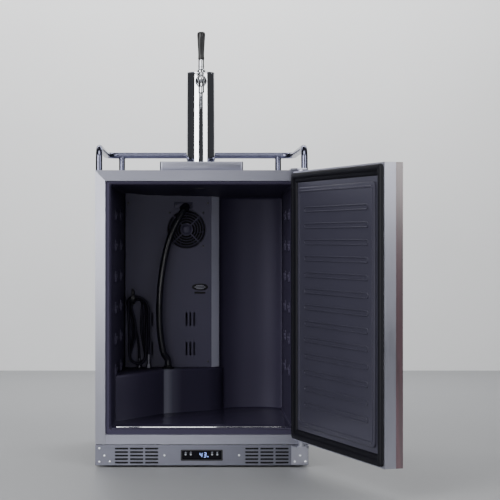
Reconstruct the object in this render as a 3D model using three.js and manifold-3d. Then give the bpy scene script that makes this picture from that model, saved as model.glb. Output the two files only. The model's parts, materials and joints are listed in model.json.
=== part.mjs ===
// Undercounter draught beer dispenser: an insulated cabinet with a hinged panel door, a keg bay,
// a chilled-air system, a guard rail, a drip tray and a single tap tower on top.
// Millimetres, +Z up, front towards -Y. All pieces are laid out in the cabinet's own frame:
// x = 0 on its centre plane, y = 0 on the front of the face frame, z = 0 on the floor.
import * as THREE from "three";
import { mergeVertices } from "three/addons/utils/BufferGeometryUtils.js";
import Module from "manifold-3d";

const wasm = await Module();
wasm.setup();

// ---------- driving dimensions ----------
const GAP = 0.3; // air between touching pieces
const SHEET = 2; // steel sheet of the shell

const HALF_WIDTH = 300;
const DECK_TOP = 837;
const DEPTH = 585;
const FRAME_DEPTH = 22; // front to back of the face frame
const STILE = 28; // width of each stile
const TOP_RAIL = 30; // height of the top rail
const SILL_LOW = 65; // underside of the bottom rail
const SILL_TOP = 92; // top of the bottom rail
const BASE_Z = 20; // underside of the base pan

const KICK_LOW = 6;
const KICK_TOP = 63.5;
// air slots of the kick plate; x and z place the innermost slot of the lowest row
const SLOT = { x: 141, z: 13.5, length: 37.5, height: 5, columns: 3, columnPitch: 42.5, rows: 5, rowPitch: 9.85 };
const REAR_VENT = { rows: 6, low: 60, pitch: 20, height: 7, length: 100, places: [-250, -120] };

const BAY_HALF = 261; // half width inside the liner
const LEFT_DRAFT = 25; // how far the left wall comes in by the time it reaches the rear
const BAY_FLOOR = 106;
const BAY_TOP_FRONT = 801;
const BAY_TOP_REAR = 789;
const BAY_CORNER_Z = 776; // where the rear wall meets the sloping ceiling's turned-down edge
const COVER_Y = 484; // front face of the evaporator cover
const BAY_REAR = 548;
const LINER = 2.5; // wall of the moulded liner
const BAY_FRONT = 9; // where the liner's walls begin, behind the frame's front
const STEP_TOP = 242; // top of the step over the compressor

// shallow upright hollow in the rear wall, behind the keg
const HOLLOW = { leftX: 61, rightX: 257, edgeY: 524, depth: 26, steps: 10 };

// pads moulded on both side walls, which carry the shelves
const GUIDE = { levels: 6, low: 257, pitch: 91, places: [180, 350], halfLength: 26, proud: 7 };

// front edge of that step in plan, from the left wall to the rear wall
const STEP_EDGE = [
  [-BAY_HALF, 162],
  [-112, 388],
  [33, 474],
  [60, 500],
  [74, 525],
  [78, BAY_REAR],
];

const FOOT_PLACES = [
  [-255, 60],
  [255, 60],
  [-255, 540],
  [255, 540],
];

const FASCIA = { halfX: 58, low: 20, high: 49.2 };
const BUTTONS = { places: [-45.6, -31, 29, 43.6], z: 36.5, radius: 2.5, bore: 2.9 };
const FAN = { x: -42, z: 673, blades: 7, radius: 54 };
const COMPRESSOR = { x: -195, y: 480, legX: 37, legY: 37 };
const CONDENSER_FAN = { x: -55, z: 110, blades: 5, radius: 48 };

// cover over the evaporator: a flat front and a bevelled right side that turns back to the wall
const COVER = { left: -233, right: 35, sideX: 61, bevel: 21, rear: 527, skin: 2.5 };
const COVER_VENT = { half: 2.65, height: 42, rows: [279, 371], columns: [-173, -161, -149, -42, -30, -18] };
const SENSOR = { z: 493, radius: 25, flatness: 0.42, thickness: 6 };

const DOOR = {
  pivotX: 278,
  pivotY: -28,
  openAngle: 108, // degrees, as stored
  halfWidth: 295,
  low: 81,
  high: 832,
  gasket: 11, // how far the gasket stands off the door's back
  back: -11.5, // y of the door frame's back when shut
  frame: 30.5, // thickness of the metal frame
  panel: 19, // thickness of the overlay panel
  linerInset: 46,
};
const DOOR_RIB = { count: 13, low: 191, pitch: 44.4, left: -214, right: 200, half: 7 };

const INLET = { x: 120, z: 48, radius: 8 }; // where a mains lead would enter the rear panel
const RAIL = { radius: 9.5, z: 902.5, halfX: 290, frontY: 14, rearY: 453, bend: 38, postX: 242.5 };
const TOWER = { radius: 42.25, y: 250, top: 1138, wall: 2, passage: 28 };
const TRAY = { halfWidth: 119, frontY: 60, rearY: 190, height: 27, slots: 11, slotPitch: 20 };
const TAP = { shankZ: 1108, pivotY: 148, pivotZ: 1116 };

// centreline of the hose that carries cold air to the tower
const HOSE_RADIUS = 10;
const HOSE_ROUTE = [
  [-51.2, 446, 733.2],
  [-61.5, 441.4, 716],
  [-79, 434, 682],
  [-96, 428, 640],
  [-108, 424, 594],
  [-117, 421, 545],
  [-123, 419, 495],
  [-125.5, 418, 450],
  [-126, 419, 410],
  [-124.5, 421, 366],
  [-120, 425, 326],
  [-113, 430, 290],
  [-101, 438, 270],
  [-99, 439, 252.5],
];

// the gas line hangs from its hook as a hank: outline of its top and right side, and of its lower fold
const HOOK = { x: -208, z: 477, radius: 3, tip: 489 };
const HANK = {
  frontY: 430,
  rearY: 469.5,
  bottom: { x: -194, z: 277.3, radius: 27 },
  steps: 12,
  strandX: -153.5, // right side of the last strand, which runs down into the coupling
  strandZ: 340,
  top: [
    [-154.5, 424],
    [-160, 441],
    [-171, 455],
    [-185, 464.5],
    [-197, 469],
    [-208, 470.6],
    [-218, 468.5],
    [-226, 461],
    [-230.5, 449],
    [-230, 430],
  ],
};
const GAS_INLET = { x: -190, y: 476, top: 270.3 }; // bulkhead on the step, behind the hank
const GAS_NUT = { x: -159.8, y: 447, low: 243, top: 285.3 }; // coupling on the line's free end

// ---------- helpers ----------
const vec = (x, y, z) => new THREE.Vector3(x, y, z);

function box(x0, x1, y0, y1, z0, z1) {
  const shape = new THREE.BoxGeometry(x1 - x0, y1 - y0, z1 - z0);
  return shape.translate((x0 + x1) / 2, (y0 + y1) / 2, (z0 + z1) / 2);
}

function outline(points) {
  return new THREE.Shape(points.map(([a, b]) => new THREE.Vector2(a, b)));
}

// plan outline (x, y) raised from z0 to z1
function prismZ(points, z0, z1, curveSegments = 5) {
  const shape = Array.isArray(points) ? outline(points) : points;
  const made = new THREE.ExtrudeGeometry(shape, { depth: z1 - z0, bevelEnabled: false, curveSegments });
  return made.translate(0, 0, z0);
}

// elevation outline (x, z) drawn out from y0 back to y1
function prismY(points, y0, y1, curveSegments = 5) {
  return prismZ(points, 0, y1 - y0, curveSegments).rotateX(Math.PI / 2).translate(0, y1, 0);
}

// side outline (y, z) drawn out from x0 to x1
function prismX(points, x0, x1) {
  const turn = new THREE.Matrix4().makeBasis(vec(0, 1, 0), vec(0, 0, 1), vec(1, 0, 0));
  return prismZ(points, 0, x1 - x0).applyMatrix4(turn).translate(x0, 0, 0);
}

// turned profile of (radius, height) pairs about the Z axis through (x, y)
function turned(profile, x, y, segments) {
  const points = profile.map(([radius, height]) => new THREE.Vector2(radius, height));
  return new THREE.LatheGeometry(points, segments).rotateX(Math.PI / 2).translate(x, y, 0);
}

// cylinder between heights along a chosen axis
function rod(axis, radius, from, to, a, b, segments = 16) {
  const made = new THREE.CylinderGeometry(radius, radius, to - from, segments);
  const middle = (from + to) / 2;
  if (axis === "x") return made.rotateZ(Math.PI / 2).translate(middle, a, b);
  if (axis === "y") return made.translate(a, middle, b);
  return made.rotateX(Math.PI / 2).translate(a, b, middle);
}

function circle(radius, sides) {
  const points = [];
  for (let i = 0; i < sides; i += 1) {
    const angle = (2 * Math.PI * i) / sides;
    points.push([radius * Math.cos(angle), radius * Math.sin(angle)]);
  }
  return outline(points);
}

// round tube along a smooth curve
function tube(curve, radius, sides, steps) {
  return new THREE.ExtrudeGeometry(circle(radius, sides), { steps, bevelEnabled: false, extrudePath: curve });
}

// rectangle with round corners, in any of the three planes
function roundedRectangle(a0, a1, b0, b1, radius) {
  const shape = new THREE.Shape();
  shape.moveTo(a0 + radius, b0);
  shape.lineTo(a1 - radius, b0);
  shape.absarc(a1 - radius, b0 + radius, radius, -Math.PI / 2, 0);
  shape.lineTo(a1, b1 - radius);
  shape.absarc(a1 - radius, b1 - radius, radius, 0, Math.PI / 2);
  shape.lineTo(a0 + radius, b1);
  shape.absarc(a0 + radius, b1 - radius, radius, Math.PI / 2, Math.PI);
  shape.lineTo(a0, b0 + radius);
  shape.absarc(a0 + radius, b0 + radius, radius, Math.PI, 1.5 * Math.PI);
  return shape;
}

function solidOf(geometry) {
  const flat = (geometry.index ? geometry.toNonIndexed() : geometry.clone());
  flat.deleteAttribute("normal");
  flat.deleteAttribute("uv");
  const merged = mergeVertices(flat, 1e-4);
  const vertProperties = new Float32Array(merged.attributes.position.array);
  const triVerts = new Uint32Array(merged.index.array);
  return new wasm.Manifold(new wasm.Mesh({ numProp: 3, vertProperties, triVerts }));
}

function geometryOf(manifold) {
  const mesh = manifold.getMesh();
  const made = new THREE.BufferGeometry();
  made.setAttribute("position", new THREE.BufferAttribute(new Float32Array(mesh.vertProperties), 3));
  made.setIndex(new THREE.BufferAttribute(new Uint32Array(mesh.triVerts), 1));
  made.computeVertexNormals();
  return made;
}

function cut(base, ...tools) {
  return geometryOf(tools.reduce((solid, tool) => solid.subtract(solidOf(tool)), solidOf(base)));
}

function join(base, ...others) {
  return geometryOf(others.reduce((solid, other) => solid.add(solidOf(other)), solidOf(base)));
}

function common(a, b) {
  return geometryOf(solidOf(a).intersect(solidOf(b)));
}

// moves each edge of a counter-clockwise outline outwards by a distance
function grown(points, distance) {
  const count = points.length;
  return points.map(([x, y], i) => {
    const [px, py] = points[(i + count - 1) % count];
    const [nx, ny] = points[(i + 1) % count];
    const before = new THREE.Vector2(y - py, px - x).normalize();
    const after = new THREE.Vector2(ny - y, x - nx).normalize();
    const reach = distance / (1 + before.dot(after));
    return [x + (before.x + after.x) * reach, y + (before.y + after.y) * reach];
  });
}

// ---------- finishes ----------
const FINISH = {
  brushedSteel: [0x9a9da3, 0.38, 1],
  polishedSteel: [0xc9cbd0, 0.12, 1],
  blackSteel: [0x17181b, 0.5, 0.3],
  zincSteel: [0xb9bcc0, 0.35, 0.9],
  darkPlastic: [0x1d1d2b, 0.3, 0],
  blackPlastic: [0x0c0c10, 0.35, 0],
  rubber: [0x101014, 0.7, 0],
  foam: [0xd8c9a0, 0.9, 0],
  glass: [0x08090c, 0.08, 0],
  whitePlastic: [0xe6e8ec, 0.4, 0],
  lacquer: [0x4a1c28, 0.2, 0],
  aluminium: [0xb0b3b8, 0.45, 1],
};

const root = new THREE.Group();

function add(name, geometry, finish, parent = root) {
  const [color, roughness, metalness] = FINISH[finish];
  const mesh = new THREE.Mesh(geometry, new THREE.MeshStandardMaterial({ color, roughness, metalness }));
  mesh.name = name;
  parent.add(mesh);
  return mesh;
}

// the way up into the tower, through ceiling, insulation and deck
function towerPassage() {
  return rod("z", TOWER.passage, BAY_CORNER_Z - 10, DECK_TOP + 10, 0, TOWER.y, 20);
}

// ---------- outer shell ----------
const shellFront = FRAME_DEPTH + GAP;
const shellTop = DECK_TOP - SHEET - GAP;
const innerX = HALF_WIDTH - SHEET;

function addShell() {
  add("side_panel_left", box(-HALF_WIDTH, -innerX, shellFront, DEPTH, BASE_Z, shellTop), "blackSteel");
  add("side_panel_right", box(innerX, HALF_WIDTH, shellFront, DEPTH, BASE_Z, shellTop), "blackSteel");
  const deck = box(-HALF_WIDTH, HALF_WIDTH, shellFront, DEPTH, DECK_TOP - SHEET, DECK_TOP);
  add("top_deck", cut(deck, towerPassage()), "brushedSteel");

  const edge = innerX - GAP;
  const rear = box(-edge, edge, DEPTH - SHEET, DEPTH, BASE_Z + SHEET + GAP, shellTop);
  const vents = [];
  for (let row = 0; row < REAR_VENT.rows; row += 1) {
    const z = REAR_VENT.low + row * REAR_VENT.pitch;
    for (const x of REAR_VENT.places) {
      vents.push(box(x, x + REAR_VENT.length, DEPTH - 5, DEPTH + 5, z, z + REAR_VENT.height));
    }
  }
  const inlet = rod("y", INLET.radius + GAP, DEPTH - 10, DEPTH + 10, INLET.x, INLET.z, 12);
  add("rear_panel", cut(rear, ...vents, inlet), "zincSteel");

  const front = 12;
  const pan = box(-edge, edge, front, DEPTH, BASE_Z, BASE_Z + SHEET);
  const lip = box(-edge, edge, front, front + SHEET, BASE_Z, BASE_Z + 12);
  const holes = FOOT_PLACES.map(([x, y]) => rod("z", 6, BASE_Z - 5, BASE_Z + 15, x, y, 12));
  add("base_pan", cut(join(pan, lip), ...holes), "zincSteel");
}

// ---------- face frame ----------
function addFaceFrame() {
  const inner = HALF_WIDTH - STILE;
  const railLow = DECK_TOP - TOP_RAIL;
  const back = FRAME_DEPTH;
  const mitre = GAP / 2;
  const left = [
    [-HALF_WIDTH, SILL_LOW],
    [-inner, SILL_LOW],
    [-inner, railLow - 2 * mitre],
    [-HALF_WIDTH, DECK_TOP - 2 * mitre],
  ];
  const right = left.map(([x, z]) => [-x, z]).reverse();
  const top = [
    [-inner, railLow],
    [inner, railLow],
    [HALF_WIDTH, DECK_TOP],
    [-HALF_WIDTH, DECK_TOP],
  ];
  add("face_stile_left", prismY(left, 0, back), "brushedSteel");
  add("face_stile_right", prismY(right, 0, back), "brushedSteel");
  add("face_rail_top", prismY(top, 0, back), "brushedSteel");
  const bottom = box(-inner + GAP, inner - GAP, 0, back, SILL_LOW, SILL_TOP);
  add("face_rail_bottom", bottom, "brushedSteel");
}

// ---------- kick plate and controls ----------
function addKickPlate() {
  const plate = box(-HALF_WIDTH, HALF_WIDTH, 0, SHEET, KICK_LOW, KICK_TOP);
  const cuts = [];
  for (const side of [-1, 1]) {
    for (let column = 0; column < SLOT.columns; column += 1) {
      for (let row = 0; row < SLOT.rows; row += 1) {
        const x = side * (SLOT.x + column * SLOT.columnPitch);
        const z = SLOT.z + row * SLOT.rowPitch;
        const half = SLOT.length / 2;
        cuts.push(box(x - half, x + half, -2, 5, z - SLOT.height / 2, z + SLOT.height / 2));
      }
    }
  }
  cuts.push(box(-FASCIA.halfX, FASCIA.halfX, -2, 5, FASCIA.low, FASCIA.high));
  add("kick_grille", cut(plate, ...cuts), "brushedSteel");

  // the housing sits in the plate's window and carries the glass in a shallow recess
  const edge = FASCIA.halfX - GAP;
  const low = FASCIA.low + GAP;
  const high = FASCIA.high - GAP;
  const wall = 1.5;
  const body = box(-edge, edge, -1, 11, low, high);
  const recess = box(-edge + wall, edge - wall, -2, wall, low + wall, high - wall);
  const bores = BUTTONS.places.map((x) => rod("y", BUTTONS.bore, 1, 8, x, BUTTONS.z, 12));
  add("control_housing", cut(body, recess, ...bores), "blackPlastic");
  const inset = wall + GAP;
  const glass = box(-edge + inset, edge - inset, -0.6, 1.2, low + inset, high - inset);
  const windows = BUTTONS.places.map((x) => rod("y", BUTTONS.bore, -3, 3, x, BUTTONS.z, 12));
  add("control_glass", cut(glass, ...windows), "glass");
  BUTTONS.places.forEach((x, i) => {
    add(`button_${i + 1}`, rod("y", BUTTONS.radius, -1.6, 6, x, BUTTONS.z, 12), "whitePlastic");
  });
}

// ---------- feet ----------
function addFeet() {
  const profile = [
    [0, 0],
    [19, 0],
    [19, 5],
    [13, 9],
    [7, 10],
    [5, 12],
    [5, 44],
    [0, 44],
  ];
  const names = ["foot_front_left", "foot_front_right", "foot_rear_left", "foot_rear_right"];
  FOOT_PLACES.forEach(([x, y], i) => add(names[i], turned(profile, x, y, 14), "blackPlastic"));
}

// ---------- liner and insulation ----------
// x of the left wall, which comes in towards the rear
function leftWall(y) {
  return -BAY_HALF + (LEFT_DRAFT * (y - BAY_FRONT)) / (BAY_REAR - BAY_FRONT);
}

// plan of the bay: a shallow hollow in the rear wall behind the keg, steeper at its two ends
function bayPlan(front) {
  const { leftX, rightX, edgeY, depth, steps } = HOLLOW;
  const arc = [];
  for (let i = 0; i <= steps; i += 1) {
    const across = 1 - (2 * i) / steps;
    const x = (leftX + rightX) / 2 + (across * (rightX - leftX)) / 2;
    arc.push([x, edgeY + depth * (1 - Math.abs(across) ** 3)]);
  }
  return [
    [BAY_HALF, front],
    [BAY_HALF, HOLLOW.edgeY],
    ...arc,
    [HOLLOW.leftX, BAY_REAR],
    [leftWall(BAY_REAR), BAY_REAR],
    [leftWall(front), front],
  ];
}

// side outline of the bay: level floor, ceiling falling towards the rear
function bayProfile(front) {
  const fall = (BAY_TOP_FRONT - BAY_TOP_REAR) / (COVER_Y - BAY_FRONT);
  return [
    [front, BAY_FLOOR],
    [BAY_REAR + 10, BAY_FLOOR],
    [BAY_REAR + 10, BAY_CORNER_Z],
    [COVER_Y + 40, BAY_CORNER_Z],
    [COVER_Y, BAY_TOP_REAR],
    [front, BAY_TOP_FRONT + (BAY_FRONT - front) * fall],
  ];
}

function baySpace(growth, front) {
  const plan = prismZ(grown(bayPlan(front), growth), BAY_FLOOR - 60, BAY_TOP_FRONT + 60);
  const profile = prismX(grown(bayProfile(front), growth), -HALF_WIDTH, HALF_WIDTH);
  return common(plan, profile);
}

// the step over the compressor as a block, its outline moved by a distance
function stepBlock(growth, low, high) {
  const plan = [...STEP_EDGE.slice(1), [78, 700], [-400, 700], [-400, -48.8]];
  return prismZ(grown(plan, growth), low, high);
}

function guidePads() {
  const pads = [];
  const { levels, low, pitch, places, halfLength, proud } = GUIDE;
  for (let level = 0; level < levels; level += 1) {
    for (const y of places) {
      const z = low + level * pitch;
      const pad = [
        [y - halfLength, z - 14],
        [y + halfLength, z - 14],
        [y + halfLength - 6, z + 20],
        [y - halfLength + 6, z + 20],
      ];
      const root = 1.25; // how far a pad reaches into the wall
      const left = leftWall(y);
      pads.push(prismX(pad, left - root, left + proud), prismX(pad, BAY_HALF - proud, BAY_HALF + root));
    }
  }
  return pads;
}

function addLiner() {
  const cavity = cut(baySpace(0, BAY_FRONT - 40), stepBlock(0, 0, STEP_TOP));
  const bodySpace = baySpace(LINER, BAY_FRONT);
  const underStep = stepBlock(-LINER, 0, STEP_TOP - LINER);
  const flangeOuter = HALF_WIDTH - STILE - GAP;
  const flange = prismY(
    roundedRectangle(-flangeOuter, flangeOuter, SILL_TOP + GAP, DECK_TOP - TOP_RAIL - GAP, 6),
    BAY_FRONT - LINER,
    BAY_FRONT + 0.01,
  );
  const shell = cut(join(bodySpace, flange), cavity, underStep, towerPassage());
  add("inner_liner", join(shell, ...guidePads()), "darkPlastic");
}

function addInsulation() {
  const edge = innerX - GAP;
  const side = BAY_HALF + LINER + GAP;
  const front = shellFront;
  const rear = DEPTH - SHEET - GAP;
  const floorLow = SILL_LOW + 1;
  const top = shellTop;
  const linerSpace = baySpace(LINER + GAP, -100);
  const rearEdge = 505; // where the rear insulation begins
  const wedgeX = -230; // beyond the left wall at its rear end
  const wedge = box(-side - 1, wedgeX, front, rearEdge - GAP, BAY_FLOOR, BAY_CORNER_Z + LINER);
  const leftFill = cut(wedge, linerSpace, stepBlock(0, 0, STEP_TOP));
  add("insulation_left", join(box(-edge, -side, front, rear, floorLow, top), leftFill), "foam");
  add("insulation_right", box(side, edge, front, rear, floorLow, top), "foam");
  const inside = side - GAP;
  const roof = box(-inside, inside, front, rear, BAY_CORNER_Z + LINER + GAP, top);
  add("insulation_top", cut(roof, linerSpace, towerPassage()), "foam");
  const wallTop = BAY_CORNER_Z + LINER;
  const wall = box(-inside, inside, rearEdge, rear, STEP_TOP - LINER, wallTop);
  const lowWall = box(80 + LINER, inside, rearEdge, rear, BAY_FLOOR - LINER - GAP, STEP_TOP);
  add("insulation_rear", cut(join(wall, lowWall), linerSpace), "foam");

  const floorTop = BAY_FLOOR - LINER - GAP;
  const floor = box(-inside, inside, front, rear, floorLow, floorTop - GAP);
  const riser = common(
    stepBlock(-LINER - GAP, floorLow, STEP_TOP - LINER - GAP),
    box(-inside, inside, front, rear, floorLow, STEP_TOP),
  );
  const thickness = 28; // foam between the bay and the machine compartment under the step
  const machineSpace = stepBlock(-thickness, 0, STEP_TOP - thickness - LINER);
  add("insulation_floor", cut(join(floor, riser), machineSpace), "foam");
}

// ---------- evaporator, its cover and the hoses ----------
function addEvaporator() {
  const coverLow = STEP_TOP + GAP;
  const coverHigh = BAY_CORNER_Z - GAP;
  const { left, right, sideX, bevel, rear, skin } = COVER;
  const plan = [
    [left, COVER_Y],
    [right, COVER_Y],
    [sideX, COVER_Y + bevel],
    [sideX, rear],
    [left, rear],
  ];
  const beyond = 600; // the cover has no back
  const hollow = [
    [left + skin, COVER_Y + skin],
    [right - 1, COVER_Y + skin],
    [sideX - skin, COVER_Y + bevel + 1],
    [sideX - skin, beyond],
    [left + skin, beyond],
  ];
  const body = cut(prismZ(plan, coverLow, coverHigh), prismZ(hollow, coverLow + skin, coverHigh - skin));
  const cuts = [rod("y", 60, COVER_Y - 5, COVER_Y + 8, FAN.x, FAN.z, 28)];
  for (const z0 of COVER_VENT.rows) {
    for (const x0 of COVER_VENT.columns) {
      const { half, height } = COVER_VENT;
      cuts.push(box(x0 - half, x0 + half, COVER_Y - 5, COVER_Y + 8, z0, z0 + height));
    }
  }
  const grille = [
    box(-62.5, 62.5, COVER_Y, COVER_Y + skin, -3, 3),
    box(-3, 3, COVER_Y, COVER_Y + skin, -62.5, 62.5),
  ];
  for (const radius of [20, 34, 47]) {
    const ring = turned(
      [
        [radius - 2.2, 0],
        [radius + 2.2, 0],
        [radius + 2.2, skin],
        [radius - 2.2, skin],
        [radius - 2.2, 0],
      ],
      0,
      0,
      24,
    );
    grille.push(ring.rotateX(-Math.PI / 2).translate(0, COVER_Y, 0));
  }
  const bars = grille.map((bar) => bar.translate(FAN.x, 0, FAN.z));
  add("evaporator_cover", join(cut(body, ...cuts), ...bars), "darkPlastic");

  // axial fan: square frame with the motor hub on two struts, and a bladed rotor in front of it
  const frameY = COVER_Y + 4;
  const half = 60; // half width of the fan's square frame
  const frame = box(FAN.x - half, FAN.x + half, frameY, frameY + 25, FAN.z - half, FAN.z + half);
  const bore = rod("y", 57, frameY - 1, frameY + 26, FAN.x, FAN.z, 28);
  const hub = rod("y", 18, frameY + 16, frameY + 25, FAN.x, FAN.z, 16);
  const strut = box(FAN.x - 58, FAN.x + 58, frameY + 21, frameY + 25, FAN.z - 3, FAN.z + 3);
  add("fan_frame", join(cut(frame, bore), hub, strut), "blackPlastic");
  const rotor = fanRotor(FAN.x, FAN.z, frameY + 2, frameY + 15.5, FAN.radius, FAN.blades);
  add("evaporator_fan", rotor, "blackPlastic");

  const coil = [box(-220, 20, 517, 543, 440, 580)];
  for (let i = 0; i < 5; i += 1) {
    coil.push(box(-226, 26, 519, 541, 450 + i * 28, 454 + i * 28));
  }
  add("evaporator_coil", join(...coil), "aluminium");

  // oval louvred housing of the temperature sensor
  const { z, radius, flatness, thickness } = SENSOR;
  const sensor = new THREE.CylinderGeometry(radius, radius, thickness, 20).scale(1, 1, flatness);
  sensor.translate(0, COVER_Y - thickness / 2 - GAP, z);
  const slots = [-5, 0, 5].map((dz) => box(-15, 15, COVER_Y - 8, COVER_Y - 4, z + dz - 1, z + dz + 1));
  add("sensor_cover", cut(sensor, ...slots), "blackPlastic");
}

// hub with flat pitched blades, turning about the Y axis
function fanRotor(x, z, y0, y1, radius, blades) {
  const parts = [rod("y", 19, y0, y1, 0, 0, 16)];
  const middle = (y0 + y1) / 2;
  for (let i = 0; i < blades; i += 1) {
    const blade = new THREE.BoxGeometry(radius - 15, 2, 24).rotateX(0.45).translate((radius + 15) / 2, 0, 0);
    parts.push(blade.rotateY((i * 2 * Math.PI) / blades).translate(0, middle, 0));
  }
  return join(...parts).translate(x, 0, z);
}

function addHoses() {
  const plate = box(-81, -23, COVER_Y - 3 - GAP, COVER_Y - GAP, 738, 758);
  const stub = rod("y", 14, 447, COVER_Y - GAP, -45, 748, 16);
  const elbowDrop = new THREE.CylinderGeometry(14, 14, 22, 16).rotateX(Math.PI / 2);
  elbowDrop.lookAt(vec(-13, -6, -22)).translate(-45, 449, 744);
  add("duct_elbow", join(plate, stub, elbowDrop), "blackPlastic");

  const route = new THREE.CatmullRomCurve3(HOSE_ROUTE.map(([x, y, z]) => vec(x, y, z)));
  add("cooling_hose", tube(route, HOSE_RADIUS, 12, 22), "rubber");

  const [endX, endY] = HOSE_ROUTE[HOSE_ROUTE.length - 1];
  const profile = [
    [0, STEP_TOP + GAP],
    [19, STEP_TOP + GAP],
    [17, STEP_TOP + 5],
    [13, STEP_TOP + 9],
    [0, STEP_TOP + 9],
  ];
  const grommet = turned(profile, endX, endY, 16);
  add("hose_grommet", grommet, "blackPlastic");
}

// ---------- gas line, hung as a hank beside the hose ----------
// points of an arc in the (x, z) plane, angles in degrees
function arcPoints({ x, z, radius }, from, to, steps) {
  const points = [];
  for (let i = 0; i <= steps; i += 1) {
    const angle = THREE.MathUtils.degToRad(from + ((to - from) * i) / steps);
    points.push([x + radius * Math.cos(angle), z + radius * Math.sin(angle)]);
  }
  return points;
}

function addGasLine() {
  const { frontY, rearY, bottom, steps, strandX, strandZ, top } = HANK;
  const peg = rod("y", HOOK.radius, frontY - 2, COVER_Y - GAP, HOOK.x, HOOK.z, 12);
  const tip = rod("z", HOOK.radius, HOOK.z, HOOK.tip, HOOK.x, frontY - 2, 12);
  add("line_hook", join(peg, tip), "blackPlastic");

  const outlinePoints = [
    ...arcPoints(bottom, 180, 360, steps),
    [bottom.x + bottom.radius, GAS_NUT.top + GAP],
    [strandX, GAS_NUT.top + GAP],
    [strandX, strandZ],
    ...top,
  ];
  const leadTop = 335; // where the strand from the bulkhead is inside the hank
  const lead = box(GAS_INLET.x - 7, GAS_INLET.x + 7, rearY - 4, COVER_Y - 1.5, GAS_INLET.top + GAP, leadTop);
  add("gas_line", join(prismY(outlinePoints, frontY, rearY), lead), "rubber");

  const nutHeight = 19;
  const coupling = new THREE.CylinderGeometry(7.4, 7.4, nutHeight, 6).rotateX(Math.PI / 2);
  coupling.translate(GAS_NUT.x, GAS_NUT.y, GAS_NUT.low + nutHeight / 2);
  const tail = rod("z", 5.4, GAS_NUT.low + 10, GAS_NUT.top, GAS_NUT.x, GAS_NUT.y, 16);
  add("gas_fitting", join(coupling, tail), "polishedSteel");

  const bulkhead = [
    [0, STEP_TOP + GAP],
    [7.6, STEP_TOP + GAP],
    [7.6, STEP_TOP + 6],
    [6, STEP_TOP + 7],
    [6, STEP_TOP + 20],
    [4.6, STEP_TOP + 21],
    [4.6, GAS_INLET.top],
    [0, GAS_INLET.top],
  ];
  add("gas_inlet", turned(bulkhead, GAS_INLET.x, GAS_INLET.y, 16), "zincSteel");
}

// ---------- machine compartment ----------
function addMachinery() {
  const pot = [
    [0, 36],
    [48, 36],
    [66, 50],
    [68, 60],
    [68, 120],
    [62, 146],
    [40, 164],
    [0, 170],
  ];
  const { x: potX, y: potY, legX, legY } = COMPRESSOR;
  const can = turned(pot, potX, potY, 24);
  const plate = box(potX - 75, potX + 75, potY - 50, potY + 50, BASE_Z + SHEET + GAP, 28);
  const legs = [];
  for (const side of [-1, 1]) {
    for (const end of [-1, 1]) {
      legs.push(rod("z", 9, 27, 48, potX + side * legX, potY + end * legY, 10));
    }
  }
  const saddle = box(potX - 50, potX + 50, potY - 44, potY + 44, 46, 50);
  add("compressor", join(can, saddle, plate, ...legs), "blackSteel");

  const coil = [box(-105, -5, 540, 572, 30, 190)];
  for (let i = 0; i < 6; i += 1) {
    coil.push(box(-110, 0, 542, 570, 38 + i * 26, 43 + i * 26));
  }
  const { x: fanX, z: fanZ, radius, blades } = CONDENSER_FAN;
  const hub = rod("y", 20, 533, 542, fanX, fanZ, 14);
  add("condenser", join(...coil, hub), "blackSteel");
  add("condenser_fan", fanRotor(fanX, fanZ, 512, 531, radius, blades), "blackPlastic");

  const gland = [
    [0, 0],
    [12, 0],
    [12, 3],
    [7, 4],
    [5.5, 18],
    [0, 18],
  ];
  const outer = turned(gland, 0, 0, 12).rotateX(-Math.PI / 2).translate(INLET.x, DEPTH + GAP, INLET.z);
  const inner = rod("y", INLET.radius, DEPTH - 8, DEPTH + 1, INLET.x, INLET.z, 12);
  add("power_gland", join(outer, inner), "blackPlastic");
}

// ---------- hinges ----------
function addHinges() {
  const leaf = prismZ(
    [
      [252, -0.3],
      [299, -0.3],
      [299, -30],
      [292, -40],
      [266, -40],
      [252, -20],
    ].reverse(),
    60,
    64,
  );
  const apron = box(252, 299, -3, -0.3, 8, 62);
  const pin = rod("z", 5, 63, 96, DOOR.pivotX, DOOR.pivotY, 16);
  const washer = rod("z", 9, 63, 79, DOOR.pivotX, DOOR.pivotY, 16);
  add("hinge_lower", join(leaf, apron, pin, washer), "zincSteel");

  const top = DECK_TOP + GAP;
  const arm = prismZ(
    [
      [250, 60],
      [278, 60],
      [278, -4],
      [297, -4],
      [297, -30],
      [292, -40],
      [266, -40],
      [250, -20],
    ].reverse(),
    top,
    top + 4,
  );
  const upperPin = rod("z", 5, 817, top + 1, DOOR.pivotX, DOOR.pivotY, 16);
  const spacer = rod("z", 9, 833.5, top + 1, DOOR.pivotX, DOOR.pivotY, 16);
  add("hinge_upper", join(arm, upperPin, spacer), "zincSteel");
}

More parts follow.
